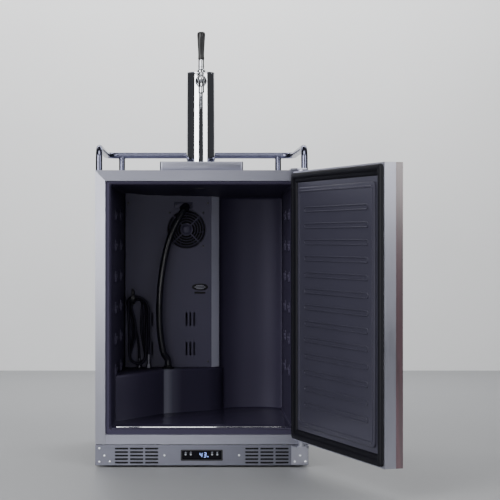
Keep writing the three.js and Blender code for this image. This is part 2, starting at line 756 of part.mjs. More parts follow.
// ---------- door, drawn shut and then swung open about its pins ----------
function addDoor() {
  const door = new THREE.Group();
  const swing = new THREE.Group();
  swing.position.set(DOOR.pivotX, DOOR.pivotY, 0);
  swing.rotation.z = THREE.MathUtils.degToRad(DOOR.openAngle);
  door.position.set(-DOOR.pivotX, -DOOR.pivotY, 0);
  swing.add(door);
  root.add(swing);

  const { halfWidth, low, high, back, frame, panel, gasket } = DOOR;
  const front = back - frame;
  const wall = 1.5;
  const pinHole = (z0, z1) => rod("z", 5.5, z0, z1, DOOR.pivotX, DOOR.pivotY, 16);

  // pressed metal pan, open towards the cabinet, with a return lip that carries the gasket
  const pan = box(-halfWidth, halfWidth, front, back, low, high);
  const lipWidth = DOOR.linerInset - 4;
  const depthSpace = box(
    -halfWidth + wall, halfWidth - wall, front + wall, back - wall, low + wall, high - wall);
  const mouth = box(
    -halfWidth + lipWidth, halfWidth - lipWidth, front + 5, back + 5, low + lipWidth, high - lipWidth);
  add("door_frame", cut(pan, depthSpace, mouth, pinHole(low - 5, low + 5), pinHole(high - 5, high + 5)),
    "brushedSteel", door);

  const skin = wall + GAP;
  const core = box(
    -halfWidth + skin, halfWidth - skin, front + skin, back - skin, low + skin, high - skin);
  // room for the hinge pins
  const pockets = [
    box(258, 297, -45, -8, low - 5, 102),
    box(258, 297, -45, -8, high - 22, high + 5),
  ];
  add("door_core", cut(core, ...pockets), "foam", door);

  // moulded inner panel, standing into the mouth of the bay
  const rim = DOOR.linerInset;
  const tub = box(-halfWidth + rim, halfWidth - rim, back + GAP - 1, back + 8, low + rim, high - rim);
  add("door_liner", ribbedPanel(tub, back), "darkPlastic", door);

  // gasket: a ring with a bevelled outer edge
  const outer = 5;
  const width = 27;
  const face = back + gasket;
  const level = (offset) =>
    roundedRectangle(-halfWidth + offset, halfWidth - offset, low + offset, high - offset, 9);
  const body = prismY(level(outer), back + GAP, face - 5);
  const bulb = prismY(level(outer + 7), face - 5.01, face);
  const inset = outer + width;
  const mouthOutline = roundedRectangle(
    -halfWidth + inset, halfWidth - inset, low + inset, high - inset, 5);
  const inner = prismY(mouthOutline, back - 5, face + 5);
  add("door_gasket", cut(join(body, bulb), inner), "rubber", door);

  const board = box(-halfWidth, halfWidth, front - panel, front - GAP, low, high);
  add("overlay_panel", board, "lacquer", door);
}

// raised field with round-ended ribs
function ribbedPanel(tub, back) {
  const ribs = [];
  const { count, low, pitch, left, right, half } = DOOR_RIB;
  for (let i = 0; i < count; i += 1) {
    const z = low + i * pitch;
    ribs.push(prismY(roundedRectangle(left, right, z - half, z + half, half - 0.5), back + 7, back + 9.5, 2));
  }
  return join(tub, ...ribs);
}

// ---------- guard rail ----------
// U-shaped rail through its corner points, each corner rounded by the bend radius
function roundedRoute(points, radius) {
  const path = new THREE.CurvePath();
  let last = points[0];
  for (let i = 1; i < points.length - 1; i += 1) {
    const into = points[i].clone().sub(points[i - 1]).normalize();
    const out = points[i + 1].clone().sub(points[i]).normalize();
    const start = points[i].clone().addScaledVector(into, -radius);
    const end = points[i].clone().addScaledVector(out, radius);
    path.add(new THREE.LineCurve3(last, start));
    const shoulder = 0.4477; // share of the radius that makes the curve round
    path.add(
      new THREE.CubicBezierCurve3(
        start,
        points[i].clone().addScaledVector(into, -radius * shoulder),
        points[i].clone().addScaledVector(out, radius * shoulder),
        end,
      ),
    );
    last = end;
  }
  path.add(new THREE.LineCurve3(last, points[points.length - 1]));
  return path;
}

function addRail() {
  const { radius, z, halfX, frontY, rearY, bend, postX } = RAIL;
  const foot = DECK_TOP + GAP;
  const corners = [
    vec(-halfX, frontY, foot),
    vec(-halfX, frontY, z),
    vec(-halfX, rearY, z),
    vec(halfX, rearY, z),
    vec(halfX, frontY, z),
    vec(halfX, frontY, foot),
  ];
  const hoop = tube(roundedRoute(corners, bend), radius, 10, 66);
  const posts = [-postX, postX].map((x) => rod("z", radius, foot, z, x, rearY, 12));
  add("guard_rail", join(hoop, ...posts), "brushedSteel");
}

// ---------- drip tray ----------
function addDripTray() {
  const { halfWidth, frontY, rearY, height, slots: slotCount, slotPitch } = TRAY;
  const low = DECK_TOP + GAP;
  const high = low + height;
  const shell = box(-halfWidth, halfWidth, frontY, rearY, low, high);
  const well = box(-halfWidth + 2, halfWidth - 2, frontY + 2, rearY - 2, low + 2, high + 5);
  const ledge = [
    box(-halfWidth + 1, -halfWidth + 6, frontY + 1, rearY - 1, high - 7, high - 4),
    box(halfWidth - 6, halfWidth - 1, frontY + 1, rearY - 1, high - 7, high - 4),
  ];
  add("drip_tray", join(cut(shell, well), ...ledge), "brushedSteel");
  const plateLow = high - 4 + GAP;
  const plate = box(-halfWidth + 2.5, halfWidth - 2.5, frontY + 2.5, rearY - 2.5, plateLow, plateLow + 1.5);
  const slots = [];
  for (let i = 0; i < slotCount; i += 1) {
    const x = (i - (slotCount - 1) / 2) * slotPitch;
    slots.push(box(x - 3, x + 3, frontY + 18, rearY - 18, plateLow - 2, plateLow + 5));
  }
  add("drip_grille", cut(plate, ...slots), "brushedSteel");
}

// ---------- tower and tap ----------
function addTower() {
  const { radius, y, top, wall } = TOWER;
  const base = DECK_TOP + GAP;
  const flange = [
    [30, base],
    [53, base],
    [53, base + 5],
    [radius + 3, base + 7],
    [radius + 3, base + 16],
    [radius + GAP, base + 16],
    [radius + GAP, base + 3],
    [30, base + 3],
    [30, base],
  ];
  add("tower_flange", turned(flange, 0, y, 32), "polishedSteel");
  const inner = radius - wall;
  const pipe = [
    [inner, base + 3 + GAP],
    [radius, base + 3 + GAP],
    [radius, top - 4],
    [inner, top - 4],
    [inner, base + 3 + GAP],
  ];
  const shankHole = rod("y", 11.5, y - 80, y, 0, TAP.shankZ, 16);
  add("tower_column", cut(turned(pipe, 0, y, 36), shankHole), "polishedSteel");
  const cap = [
    [0, top - 12],
    [inner - GAP, top - 12],
    [inner - GAP, top - 4 + GAP],
    [radius, top - 4 + GAP],
    [radius, top - 1.5],
    [radius - 1.5, top],
    [0, top],
  ];
  add("tower_cap", turned(cap, 0, y, 36), "polishedSteel");
}

function addTap() {
  const { shankZ, pivotY, pivotZ } = TAP;
  const shell = TOWER.y - TOWER.radius;
  const shank = rod("y", 11, 183 + GAP, TOWER.y - 12, 0, shankZ, 16);
  const collar = rod("y", 17, shell - 8, shell - 1.5, 0, shankZ, 20);
  const nut = new THREE.CylinderGeometry(17, 17, 9, 6).translate(0, shell - 12, shankZ);
  const bore = rod("y", 4, 170, TOWER.y, 0, shankZ, 12);
  add("faucet_shank", cut(join(shank, collar, nut), bore), "polishedSteel");

  // coupling, horizontal body, bonnet and curved spout
  const coupling = rod("y", 15, 166, 183, 0, shankZ, 20);
  const barrel = rod("y", 10.5, 136, 168, 0, shankZ, 16);
  const bonnet = turned(
    [
      [0, 1096],
      [10.5, 1096],
      [11, 1118],
      [0, 1118],
    ],
    0,
    pivotY,
    16,
  );
  const route = new THREE.CatmullRomCurve3([
    vec(0, 150, 1106), vec(0, 138, 1100), vec(0, 129, 1089), vec(0, 125, 1077), vec(0, 124, 1066)]);
  const spout = tube(route, 8.2, 12, 8);
  const valveBore = rod("y", 4, 130, 190, 0, shankZ, 12);
  const socket = new THREE.SphereGeometry(7.2, 12, 8).translate(0, pivotY, pivotZ);
  const mouth = rod("z", 7.2, pivotZ, pivotZ + 10, 0, pivotY, 12);
  const nose = new THREE.SphereGeometry(10.5, 16, 8).translate(0, 136, shankZ);
  const spoutBore = rod("z", 5.5, 1060, 1085, 0, 124.3, 12);
  add("faucet_body", cut(join(coupling, barrel, bonnet, nose, spout), socket, mouth, valveBore, spoutBore),
    "polishedSteel");

  const ball = new THREE.SphereGeometry(6.6, 12, 8).translate(0, pivotY, pivotZ);
  const stem = rod("z", 4, pivotZ, 1136, 0, pivotY, 12);
  const collarTop = turned(
    [
      [0, 1128],
      [12, 1128],
      [12, 1134],
      [8.5, 1144],
      [8.5, 1165],
      [0, 1165],
    ],
    0,
    pivotY,
    18,
  );
  add("tap_lever", join(ball, stem, collarTop), "polishedSteel");
  const grip = [
    [0, 1165.3],
    [9, 1165.3],
    [9.4, 1185],
    [11, 1215],
    [12, 1236],
    [11, 1243],
    [8, 1246],
    [0, 1246],
  ];
  add("tap_handle", turned(grip, 0, pivotY, 20), "blackPlastic");
  const shaft = rod("y", 2.4, 158, 180, 0, shankZ, 10);
  const seat = rod("y", 3.6, 174, 180, 0, shankZ, 12);
  add("tap_valve", join(shaft, seat), "zincSteel");
}

addShell();
addFaceFrame();
addKickPlate();
addFeet();
addLiner();
addInsulation();
addEvaporator();
addHoses();
addGasLine();
addMachinery();
addHinges();
addDoor();
addRail();
addDripTray();
addTower();
addTap();

// the part's origin is the middle of its bounding box, on the floor
const extent = new THREE.Box3().setFromObject(root, true);
root.position.set(-(extent.min.x + extent.max.x) / 2, -(extent.min.y + extent.max.y) / 2, -extent.min.z);

export default root;
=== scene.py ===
import json
import math

import bmesh
import bpy
from mathutils import Matrix, Vector


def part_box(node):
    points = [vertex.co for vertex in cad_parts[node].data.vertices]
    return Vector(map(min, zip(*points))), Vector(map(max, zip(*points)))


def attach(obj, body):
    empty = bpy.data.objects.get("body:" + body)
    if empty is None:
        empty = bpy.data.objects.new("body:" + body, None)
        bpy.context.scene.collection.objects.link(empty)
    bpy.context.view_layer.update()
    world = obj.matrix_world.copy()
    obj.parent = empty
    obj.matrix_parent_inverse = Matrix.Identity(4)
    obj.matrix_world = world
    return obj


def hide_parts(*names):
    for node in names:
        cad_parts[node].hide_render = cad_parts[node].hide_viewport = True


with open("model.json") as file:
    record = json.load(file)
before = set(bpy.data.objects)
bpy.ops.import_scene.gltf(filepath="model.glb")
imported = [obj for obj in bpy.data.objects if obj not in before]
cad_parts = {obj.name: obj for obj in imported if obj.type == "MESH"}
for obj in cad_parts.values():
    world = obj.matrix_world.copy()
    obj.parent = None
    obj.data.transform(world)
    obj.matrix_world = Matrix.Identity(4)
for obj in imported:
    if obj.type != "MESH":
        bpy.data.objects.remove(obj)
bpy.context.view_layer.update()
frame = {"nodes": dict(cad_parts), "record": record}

# ---------- the cabinet's own frame ----------
# Sizes below are in millimetres from the cabinet's centre plane, the front of its face frame and
# the floor, as the CAD lays it out. at() turns them into the row frame in metres.
MM = 0.001
ORIGIN = Vector((
    (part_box("side_panel_left")[0].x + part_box("side_panel_right")[1].x) / 2,
    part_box("face_rail_top")[0].y,
    0,
))


def at(x, y, z):
    return ORIGIN + Vector((x, y, z)) * MM


DOOR_JOINT = next(j for j in frame["record"]["behaviour"]["joints"] if j["name"] == "door_hinge")
DOOR_PIVOT = Vector(DOOR_JOINT["pos_m"])
DOOR_OPEN = math.radians(-DOOR_JOINT["range_deg"][0])
# door pieces are drawn shut and then swung open with this
SWING = (
    Matrix.Translation(DOOR_PIVOT)
    @ Matrix.Rotation(DOOR_OPEN, 4, "Z")
    @ Matrix.Translation(-DOOR_PIVOT)
)

BACK = 585
BAY = {"half": 261, "floor": 106, "front": 9, "rear": 548, "top_front": 801, "top_rear": 789,
       "corner": 776, "left_draft": 25}
COVER_Y = 484
STEP_TOP = 242
FAN_X, FAN_Z = -42, 673
TOWER_Y = 250
SHANK_Z = 1108
TAP_Y, TAP_PIVOT_Z = 148, 1116
TOWER_RADIUS = 42.25
DECK_TOP = 837.3
BUTTONS_X, BUTTONS_Z = (-45.6, -31, 29, 43.6), 36.5
SENSOR_Z = 493
# places on the step, in plan, of the hose's grommet, the gas inlet and the coupling of the gas line
GROMMET, INLET, COUPLING = (-99, 439), (-190, 476), (-159.8, 447)
DOOR = {"half": 295, "low": 81, "high": 832, "back": -11.5, "inset": 46}


# ---------- camera ----------
# the view is level and square to the front, with the lens shifted off the centre
def add_camera():
    focal_px = 1542
    camera = bpy.data.cameras.new("camera")
    camera.sensor_width = 36
    camera.lens = focal_px / 500 * camera.sensor_width
    camera.shift_x = 0.133
    camera.shift_y = -0.0226
    camera.clip_start = 0.1
    camera.clip_end = 60
    holder = bpy.data.objects.new("camera", camera)
    holder.location = at(-51.5, -4341, 644)
    holder.rotation_euler = (math.pi / 2, 0, 0)
    bpy.context.collection.objects.link(holder)
    bpy.context.scene.camera = holder


# ---------- node helpers ----------
def new_material(name, color, roughness, metallic=0.0, **sockets):
    made = bpy.data.materials.new(name)
    made.use_nodes = True
    shader = made.node_tree.nodes["Principled BSDF"]
    shader.inputs["Base Color"].default_value = (*color, 1)
    shader.inputs["Roughness"].default_value = roughness
    shader.inputs["Metallic"].default_value = metallic
    for key, value in sockets.items():
        shader.inputs[key.replace("_", " ")].default_value = value
    return made, shader


def add_node(tree, kind, **sockets):
    node = tree.nodes.new("ShaderNode" + kind)
    for key, value in sockets.items():
        node.inputs[key.replace("_", " ")].default_value = value
    return node


def noise(tree, scale, detail=4.0, roughness=0.5, stretch=(1, 1, 1), distortion=0.0):
    place = add_node(tree, "TexCoord")
    mapping = add_node(tree, "Mapping", Scale=stretch)
    node = add_node(tree, "TexNoise", Scale=scale, Detail=detail, Roughness=roughness, Distortion=distortion)
    tree.links.new(place.outputs["Object"], mapping.inputs["Vector"])
    tree.links.new(mapping.outputs["Vector"], node.inputs["Vector"])
    return node.outputs["Fac"]


def spread(tree, value, low, high, start=0.3, end=0.7):
    node = add_node(tree, "MapRange", From_Min=start, From_Max=end, To_Min=low, To_Max=high)
    tree.links.new(value, node.inputs["Value"])
    return node.outputs["Result"]


def tint(tree, shader, value, dark, light, start=0.3, end=0.7, between=()):
    """Base colour from dark to light, with further stops of (position, colour) between them."""
    ramp = add_node(tree, "ValToRGB")
    stops = ramp.color_ramp.elements
    for stop, position, color in ((stops[0], start, dark), (stops[1], end, light)):
        stop.position = position
        stop.color = (*color, 1)
    for position, color in between:
        stops.new(position).color = (*color, 1)
    tree.links.new(value, ramp.inputs["Fac"])
    tree.links.new(ramp.outputs["Color"], shader.inputs["Base Color"])


def bump(tree, shader, value, strength, distance):
    node = add_node(tree, "Bump", Strength=strength, Distance=distance)
    tree.links.new(value, node.inputs["Height"])
    tree.links.new(node.outputs["Normal"], shader.inputs["Normal"])


def shades(color, spread_by):
    return [c * (1 - spread_by) for c in color], [min(1, c * (1 + spread_by)) for c in color]


# ---------- materials ----------
def violet(level):
    """A faint violet gloss, as the dark plastics in the bay have."""
    return {"Specular_IOR_Level": level, "Specular_Tint": (0.82, 0.8, 1.0, 1)}


def brushed_metal(name, color, stretch, roughness=0.34, streak=None):
    """Brushed sheet. streak is the direction across the brushing, in which reflections spread."""
    made, shader = new_material(name, color, roughness, 1.0)
    tree = made.node_tree
    grain = noise(tree, 1.0, 6, 0.65, stretch)
    cloud = noise(tree, 5, 3, 0.5)
    dark, light = shades(color, 0.06)
    tint(tree, shader, grain, dark, light, 0.25, 0.75)
    if streak:
        shader.inputs["Anisotropic"].default_value = 0.82
        direction = add_node(tree, "CombineXYZ")
        for socket, value in zip(direction.inputs, streak):
            socket.default_value = value
            if not value:
                tree.links.new(spread(tree, grain, -0.02, 0.02), socket)
        tree.links.new(direction.outputs["Vector"], shader.inputs["Tangent"])
    mix = add_node(tree, "Math")
    mix.operation = "ADD"
    tree.links.new(spread(tree, grain, -0.05, 0.07), mix.inputs[0])
    tree.links.new(spread(tree, cloud, roughness - 0.03, roughness + 0.05), mix.inputs[1])
    tree.links.new(mix.outputs["Value"], shader.inputs["Roughness"])
    bump(tree, shader, grain, 0.12, 0.0001)
    return made


def moulded_plastic(name, color, roughness, grain_scale=900, strength=0.12, cloudiness=0.12, **sockets):
    made, shader = new_material(name, color, roughness, 0.0, **sockets)
    tree = made.node_tree
    fine = noise(tree, grain_scale, 3, 0.6)
    cloud = noise(tree, 7, 4, 0.55)
    dark, light = shades(color, cloudiness)
    tint(tree, shader, cloud, dark, light, 0.15, 0.85)
    tree.links.new(spread(tree, cloud, roughness * 0.95, roughness * 1.06, 0.2, 0.8), shader.inputs["Roughness"])
    bump(tree, shader, fine, strength, 0.0002)
    return made


def painted_highlight_band(name, color, light, start, end):
    """Moulded plastic with a painted highlight: paler from x = start and back to its colour by x = end."""
    made, shader = new_material(name, color, 0.5, **violet(0.3))
    tree = made.node_tree
    split = add_node(tree, "SeparateXYZ")
    tree.links.new(add_node(tree, "TexCoord").outputs["Object"], split.inputs["Vector"])
    along = spread(tree, split.outputs["X"], 0, 1, at(start, 0, 0).x, at(end, 0, 0).x)
    fading = [0.7 * c + 0.3 * d for c, d in zip(color, light)]
    tint(tree, shader, along, color, color, 0, 1, ((0.05, light), (0.22, light), (0.5, fading)))
    bump(tree, shader, noise(tree, 300, 3, 0.6), 0.02, 0.0002)
    return made


def polished_metal(name, color, roughness):
    made, shader = new_material(name, color, roughness, 1.0)
    tree = made.node_tree
    smear = noise(tree, 22, 5, 0.6, (1, 1, 0.35), 0.4)
    dark, light = shades(color, 0.03)
    tint(tree, shader, smear, dark, light)
    tree.links.new(spread(tree, smear, roughness * 0.75, roughness * 1.3, 0.2, 0.8), shader.inputs["Roughness"])
    bump(tree, shader, noise(tree, 30, 2, 0.4), 0.006, 0.0001)
    return made


def lacquered_wood(name):
    made, shader = new_material(
        name, (0.075, 0.012, 0.022), 0.42, Coat_Weight=1.0, Coat_Roughness=0.2, Coat_IOR=2.1)
    tree = made.node_tree
    grain = noise(tree, 2.2, 8, 0.62, (26, 26, 1.0), 1.6)
    tint(tree, shader, grain, (0.026, 0.007, 0.013), (0.075, 0.018, 0.032), 0.35, 0.66)
    tree.links.new(spread(tree, grain, 0.36, 0.5), shader.inputs["Roughness"])
    bump(tree, shader, noise(tree, 3, 6, 0.6, (60, 60, 1.4), 0.8), 0.05, 0.0003)
    return made


def foam_material(name):
    made, shader = new_material(name, (0.66, 0.55, 0.33), 0.9)
    tree = made.node_tree
    cells = noise(tree, 260, 6, 0.7)
    tint(tree, shader, cells, (0.5, 0.4, 0.22), (0.76, 0.65, 0.42))
    bump(tree, shader, cells, 0.5, 0.0008)
    return made


def glowing(name, color, strength):
    made, shader = new_material(name, color, 0.3, Emission_Color=(*color, 1), Emission_Strength=strength)
    tree = made.node_tree
    tree.links.new(spread(tree, noise(tree, 300, 2), 0.25, 0.4), shader.inputs["Roughness"])
    return made


STEEL = (0.45, 0.455, 0.53)
X, Y, Z = (1, 0, 0), (0, 1, 0), (0, 0, 1)
M = {
    "steel_upright": brushed_metal("steel_brushed_upright", STEEL, (900, 900, 9), 0.36, X),
    # the rails, tray and kick plate use darker copies of the same brushed steel: painted shade, darkest on the kick
    # plate
    "steel_across_shaded": brushed_metal("steel_brushed_across_painted_shade", (0.32, 0.325, 0.39), (9, 900, 900), 0.36, Z),
    "steel_kick_shaded": brushed_metal("steel_brushed_kick_painted_shade", (0.205, 0.21, 0.26), (9, 900, 900), 0.36, Z),
    "steel_deck": brushed_metal("steel_brushed_deck", STEEL, (9, 700, 700), 0.36, Y),
    "zinc": brushed_metal("steel_zinc_plated", (0.6, 0.61, 0.64), (60, 60, 60), 0.3),
    "chrome": polished_metal("chrome_polished", (0.8, 0.81, 0.84), 0.06),
    # the tap is a darker copy of the chrome: painted shade
    "tap": polished_metal("chrome_tap_painted_shade", (0.5, 0.51, 0.535), 0.09),
    # the gas fittings' metal is painted dark as shade; their dullness is roughness
    "fitting": polished_metal("steel_dull_fitting_painted_shade", (0.12, 0.12, 0.145), 0.35),
    "screw": polished_metal("steel_screw", (0.9, 0.91, 0.95), 0.3),
    # the rail's steel is painted dark: painted shade and reflection
    "rail": polished_metal("steel_satin_tube_painted_shade", (0.14, 0.145, 0.205), 0.18),
    "liner": moulded_plastic("plastic_liner_dark", (0.03, 0.026, 0.05), 0.5, 300, 0.02, 0.04, **violet(0.3)),
    # the bay floor is a darker, glossier copy of the liner plastic; its darker colour is painted shade
    "bay_floor_shaded": moulded_plastic("plastic_floor_painted_shade", (0.022, 0.019, 0.037), 0.2, 300, 0.01, 0.04, **violet(0.5)),
    "cover": moulded_plastic("plastic_cover_dark", (0.03, 0.0272, 0.054), 0.42, 700, 0.05, 0.05, **violet(0.4)),
    # the step's front corner carries a painted highlight, a pale band fading to the right
    "step": painted_highlight_band("plastic_step_painted_highlight", (0.03, 0.026, 0.05), (0.15, 0.152, 0.2), -113, -56),
    # pale plastic: a painted highlight on the cover's bevelled side, and the sensor louvres' own pale colour
    "pale_and_highlight": moulded_plastic("plastic_pale_and_painted_highlight", (0.34, 0.345, 0.43), 0.4, 700, 0.05, 0.04),
    "door_panel": moulded_plastic("plastic_door_panel", (0.038, 0.037, 0.056), 0.4, 650, 0.1, 0.05),
    "black": moulded_plastic("plastic_black_satin", (0.012, 0.012, 0.016), 0.38, 800, 0.12),
    # near-black matt plastic for black parts, and for the sheet behind the kick slots, where it is painted shade
    "black_and_shade": moulded_plastic("plastic_black_matt_and_painted_shade", (0.002, 0.002, 0.004), 0.8, 600, 0.1),
    "handle": moulded_plastic("plastic_black_gloss", (0.004, 0.004, 0.005), 0.1, 300, 0.01, 0.1,
                              Specular_IOR_Level=0.25),
    "gasket": moulded_plastic("rubber_gasket", (0.004, 0.004, 0.007), 0.6, 1200, 0.2, Specular_IOR_Level=0.22),
    "hose": moulded_plastic("rubber_hose_gloss", (0.012, 0.012, 0.018), 0.26, 250, 0.04, 0.15),
    "line": moulded_plastic("rubber_line_matt", (0.0035, 0.003, 0.008), 0.5, 250, 0.04, 0.15, **violet(0.3)),
    "glossy": moulded_plastic("plastic_black_elbow", (0.012, 0.012, 0.017), 0.12, 250, 0.03, 0.1),
    "black_steel": moulded_plastic("steel_black_paint", (0.014, 0.014, 0.017), 0.42, 1400, 0.35, 0.1),
    "button": moulded_plastic("plastic_button_white", (0.42, 0.44, 0.5), 0.3, 900, 0.05, 0.03),
    "glass": moulded_plastic("glass_black", (0.004, 0.004, 0.006), 0.05, 60, 0.01, 0.2,
                             Specular_IOR_Level=0.12),
    "fins": brushed_metal("aluminium_fins", (0.16, 0.165, 0.18), (2, 2, 900), 0.4),
    "foam": foam_material("foam_rigid"),
    "wood": lacquered_wood("wood_lacquered_burgundy"),
    "digits": glowing("display_digits", (0.28, 0.42, 1.0), 1.8),
    "marks": glowing("panel_marks", (0.4, 0.42, 0.5), 0.25),
}


# ---------- mesh helpers ----------
def piece(name, mesh, material, replaces=(), body="cabinet", sharp=35, turn=None, flat=False):
    """A finished piece: material, smooth shading between sharp edges, and body.

    flat keeps the faces square to an axis plain, as on a sheet with holes.
    """
    if isinstance(mesh, bmesh.types.BMesh):
        mesh = finish_mesh(mesh)
    mesh.name = name
    square = [flat and max(abs(part) for part in face.normal) > 0.9999 for face in mesh.polygons]
    mesh.shade_smooth()
    mesh.set_sharp_from_angle(angle=math.radians(sharp))
    for face, plain in zip(mesh.polygons, square):
        face.use_smooth = not plain
    if turn is not None:
        mesh.transform(turn)
    made = bpy.data.objects.new(name, mesh)
    bpy.context.collection.objects.link(made)
    made.data.materials.append(M[material])
    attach(made, body)
    if replaces:
        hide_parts(*replaces)
    return made


def soften(made, width, segments=2, angle=35):
    rounded = made.modifiers.new("rounded_edges", "BEVEL")
    rounded.width = width * MM
    rounded.segments = segments
    rounded.limit_method = "ANGLE"
    rounded.angle_limit = math.radians(angle)
    rounded.use_clamp_overlap = True
    rounded.harden_normals = True


def finish_mesh(bm):
    bmesh.ops.remove_doubles(bm, verts=bm.verts, dist=1e-6)
    bmesh.ops.recalc_face_normals(bm, faces=bm.faces)
    mesh = bpy.data.meshes.new("part")
    bm.to_mesh(mesh)
    bm.free()
    return mesh


def absorb(bm, mesh):
    bm.from_mesh(mesh)
    bpy.data.meshes.remove(mesh)


def hollow_wall(made, thickness):
    wall = made.modifiers.new("wall", "SOLIDIFY")
    wall.thickness = thickness * MM
    wall.offset = -1


def circle(count):
    """Cosine and sine of equal steps round a circle."""
    angles = [2 * math.pi * i / count for i in range(count)]
    return [(math.cos(angle), math.sin(angle)) for angle in angles]


def lofted(bm, rings, closed=True, caps=True, place=at):
    """Faces between rings of points in millimetres, each ring with as many points."""
    rows = [[bm.verts.new(place(*p)) for p in ring] for ring in rings]
    count = len(rows[0])
    last = count if closed else count - 1
    for low, high in zip(rows, rows[1:]):
        for i in range(last):
            j = (i + 1) % count
            bm.faces.new((low[i], low[j], high[j], high[i]))
    if caps:
        bm.faces.new(list(reversed(rows[0])))
        bm.faces.new(rows[-1])
    return rows


def turned(bm, profile, centre, axis="z", segments=72):
    """Turned shape round axis z or y. profile holds (radius, position along the axis)."""
    rings = []
    for radius, along in profile:
        ring = [(centre[0] + radius * c, centre[1] + radius * s) for c, s in circle(segments)]
        rings.append([(a, b, along) if axis == "z" else (a, along, b) for a, b in ring])
    lofted(bm, rings, caps=False)


def turned_mesh(profile, centre, axis="z", segments=72):
    bm = bmesh.new()
    turned(bm, profile, centre, axis, segments)
    return finish_mesh(bm)


def block(bm, x0, x1, y0, y1, z0, z1):
    corners = [(x0, y0), (x1, y0), (x1, y1), (x0, y1)]
    lofted(bm, [[(x, y, z0) for x, y in corners], [(x, y, z1) for x, y in corners]])


def rounded_box(bm, x0, x1, y0, y1, z0, z1, width, segments=3):
    part = bmesh.new()
    block(part, x0, x1, y0, y1, z0, z1)
    bmesh.ops.bevel(part, geom=list(part.edges), offset=width * MM, segments=segments, affect="EDGES",
                    profile=0.5, clamp_overlap=True)
    merge(bm, part)


def merge(bm, part):
    mesh = bpy.data.meshes.new("part")
    part.to_mesh(mesh)
    part.free()
    absorb(bm, mesh)


def arc(x, z, radius, first, last, steps):
    """Points of an arc round (x, z), with angles in degrees."""
    angles = [math.radians(first + (last - first) * i / steps) for i in range(steps + 1)]
    return [(x + radius * math.cos(angle), z + radius * math.sin(angle)) for angle in angles]


def rounded_outline(x0, x1, z0, z1, radius, steps=6):
    """Rectangle with round corners, counter-clockwise from the lower right."""
    points = []
    for cx, cz, start in ((x1 - radius, z0 + radius, -90), (x1 - radius, z1 - radius, 0),
                          (x0 + radius, z1 - radius, 90), (x0 + radius, z0 + radius, 180)):
        points += arc(cx, cz, radius, start, start + 90, steps)
    return points


def circle_outline(x, z, radius, steps=32):
    return [(x + radius * c, z + radius * s) for c, s in circle(steps)]


def arc_slot(x, z, inner, outer, start, end, steps=14):
    """Outline of a curved slot round (x, z), with angles in degrees."""
    return arc(x, z, outer, start, end, steps) + arc(x, z, inner, end, start, steps)


def rounded_path(points, radius, steps=4):
    """An open outline with each inner corner turned into an arc."""
    made = [points[0]]
    for before, corner, after in zip(points, points[1:], points[2:]):
        before, corner, after = Vector(before), Vector(corner), Vector(after)
        into, out = (before - corner), (after - corner)
        reach = min(radius, into.length * 0.45, out.length * 0.45)
        start, end = corner + into.normalized() * reach, corner + out.normalized() * reach
        for i in range(steps + 1):
            t = i / steps
            made.append(tuple(start * (1 - t) ** 2 + corner * 2 * t * (1 - t) + end * t ** 2))
    made.append(points[-1])
    return made


def plate_mesh(outer, holes, low, high, plane="xz", edge=0.5):
    """A flat plate with holes, from low to high across its plane, with softened edges."""
    curve = bpy.data.curves.new("plate", "CURVE")
    curve.dimensions = "2D"
    curve.fill_mode = "BOTH"
    curve.extrude = (high - low) / 2 - edge
    curve.bevel_depth = edge
    curve.bevel_resolution = 1
    curve.offset = -edge
    for outline in [outer, *holes]:
        spline = curve.splines.new("POLY")
        spline.points.add(len(outline) - 1)
        spline.use_cyclic_u = True
        for point, (a, b) in zip(spline.points, outline):
            point.co = (a, b, 0, 1)
    holder = bpy.data.objects.new("plate", curve)
    bpy.context.collection.objects.link(holder)
    graph = bpy.context.evaluated_depsgraph_get()
    mesh = bpy.data.meshes.new_from_object(holder.evaluated_get(graph))
    bpy.data.objects.remove(holder)
    bpy.data.curves.remove(curve)
    middle = (low + high) / 2
    for vertex in mesh.vertices:
        a, b, across = vertex.co
        if plane == "xz":
            vertex.co = at(a, middle - across, b)
        else:
            vertex.co = at(a, b, middle + across)
    bm = bmesh.new()
    absorb(bm, mesh)
    return finish_mesh(bm)


def swept(bm, points, radius, sides=20, caps=True):
    """Round tube along points in millimetres, its rings carried along without twist."""
    centres = [Vector(p) for p in points]
    side = Vector((0, 0, 1))
    rings = []
    for i, centre in enumerate(centres):
        ahead = centres[min(i + 1, len(centres) - 1)] - centres[max(i - 1, 0)]
        ahead.normalize()
        if i == 0 and abs(ahead.dot(side)) > 0.9:
            side = Vector((1, 0, 0))
        side = (side - ahead * side.dot(ahead)).normalized()
        other = ahead.cross(side)
        rings.append([tuple(centre + (side * c + other * s) * radius) for c, s in circle(sides)])
    lofted(bm, rings, caps=caps)


def smooth_line(points, per_span=6):
    """Points along the Catmull-Rom curve through the given ones."""
    line = []
    padded = [Vector(points[0]) * 2 - Vector(points[1]), *[Vector(p) for p in points],
              Vector(points[-1]) * 2 - Vector(points[-2])]
    for a, b, c, d in zip(padded, padded[1:], padded[2:], padded[3:]):
        for i in range(per_span):
            t = i / per_span
            line.append(0.5 * ((2 * b) + (c - a) * t + (2 * a - 5 * b + 4 * c - d) * t * t
                               + (3 * b - a - 3 * c + d) * t ** 3))
    line.append(padded[-2])
    return [tuple(p) for p in line]


def evened(line, step=4.0, passes=12):
    """The line in equal steps, its kinks rounded off between its fixed ends."""
    points = [Vector(p) for p in line]
    reach = [0.0]
    for a, b in zip(points, points[1:]):
        reach.append(reach[-1] + (b - a).length)
    count = round(reach[-1] / step)
    even, k = [], 0
    for i in range(count + 1):
        along = reach[-1] * i / count
        while k < len(points) - 2 and reach[k + 1] < along:
            k += 1
        share = (along - reach[k]) / max(1e-9, reach[k + 1] - reach[k])
        even.append(points[k].lerp(points[k + 1], min(1, share)))
    for _ in range(passes):
        even = [even[0], *[(a + b * 2 + c) / 4 for a, b, c in zip(even, even[1:], even[2:])], even[-1]]
    return [tuple(p) for p in even]


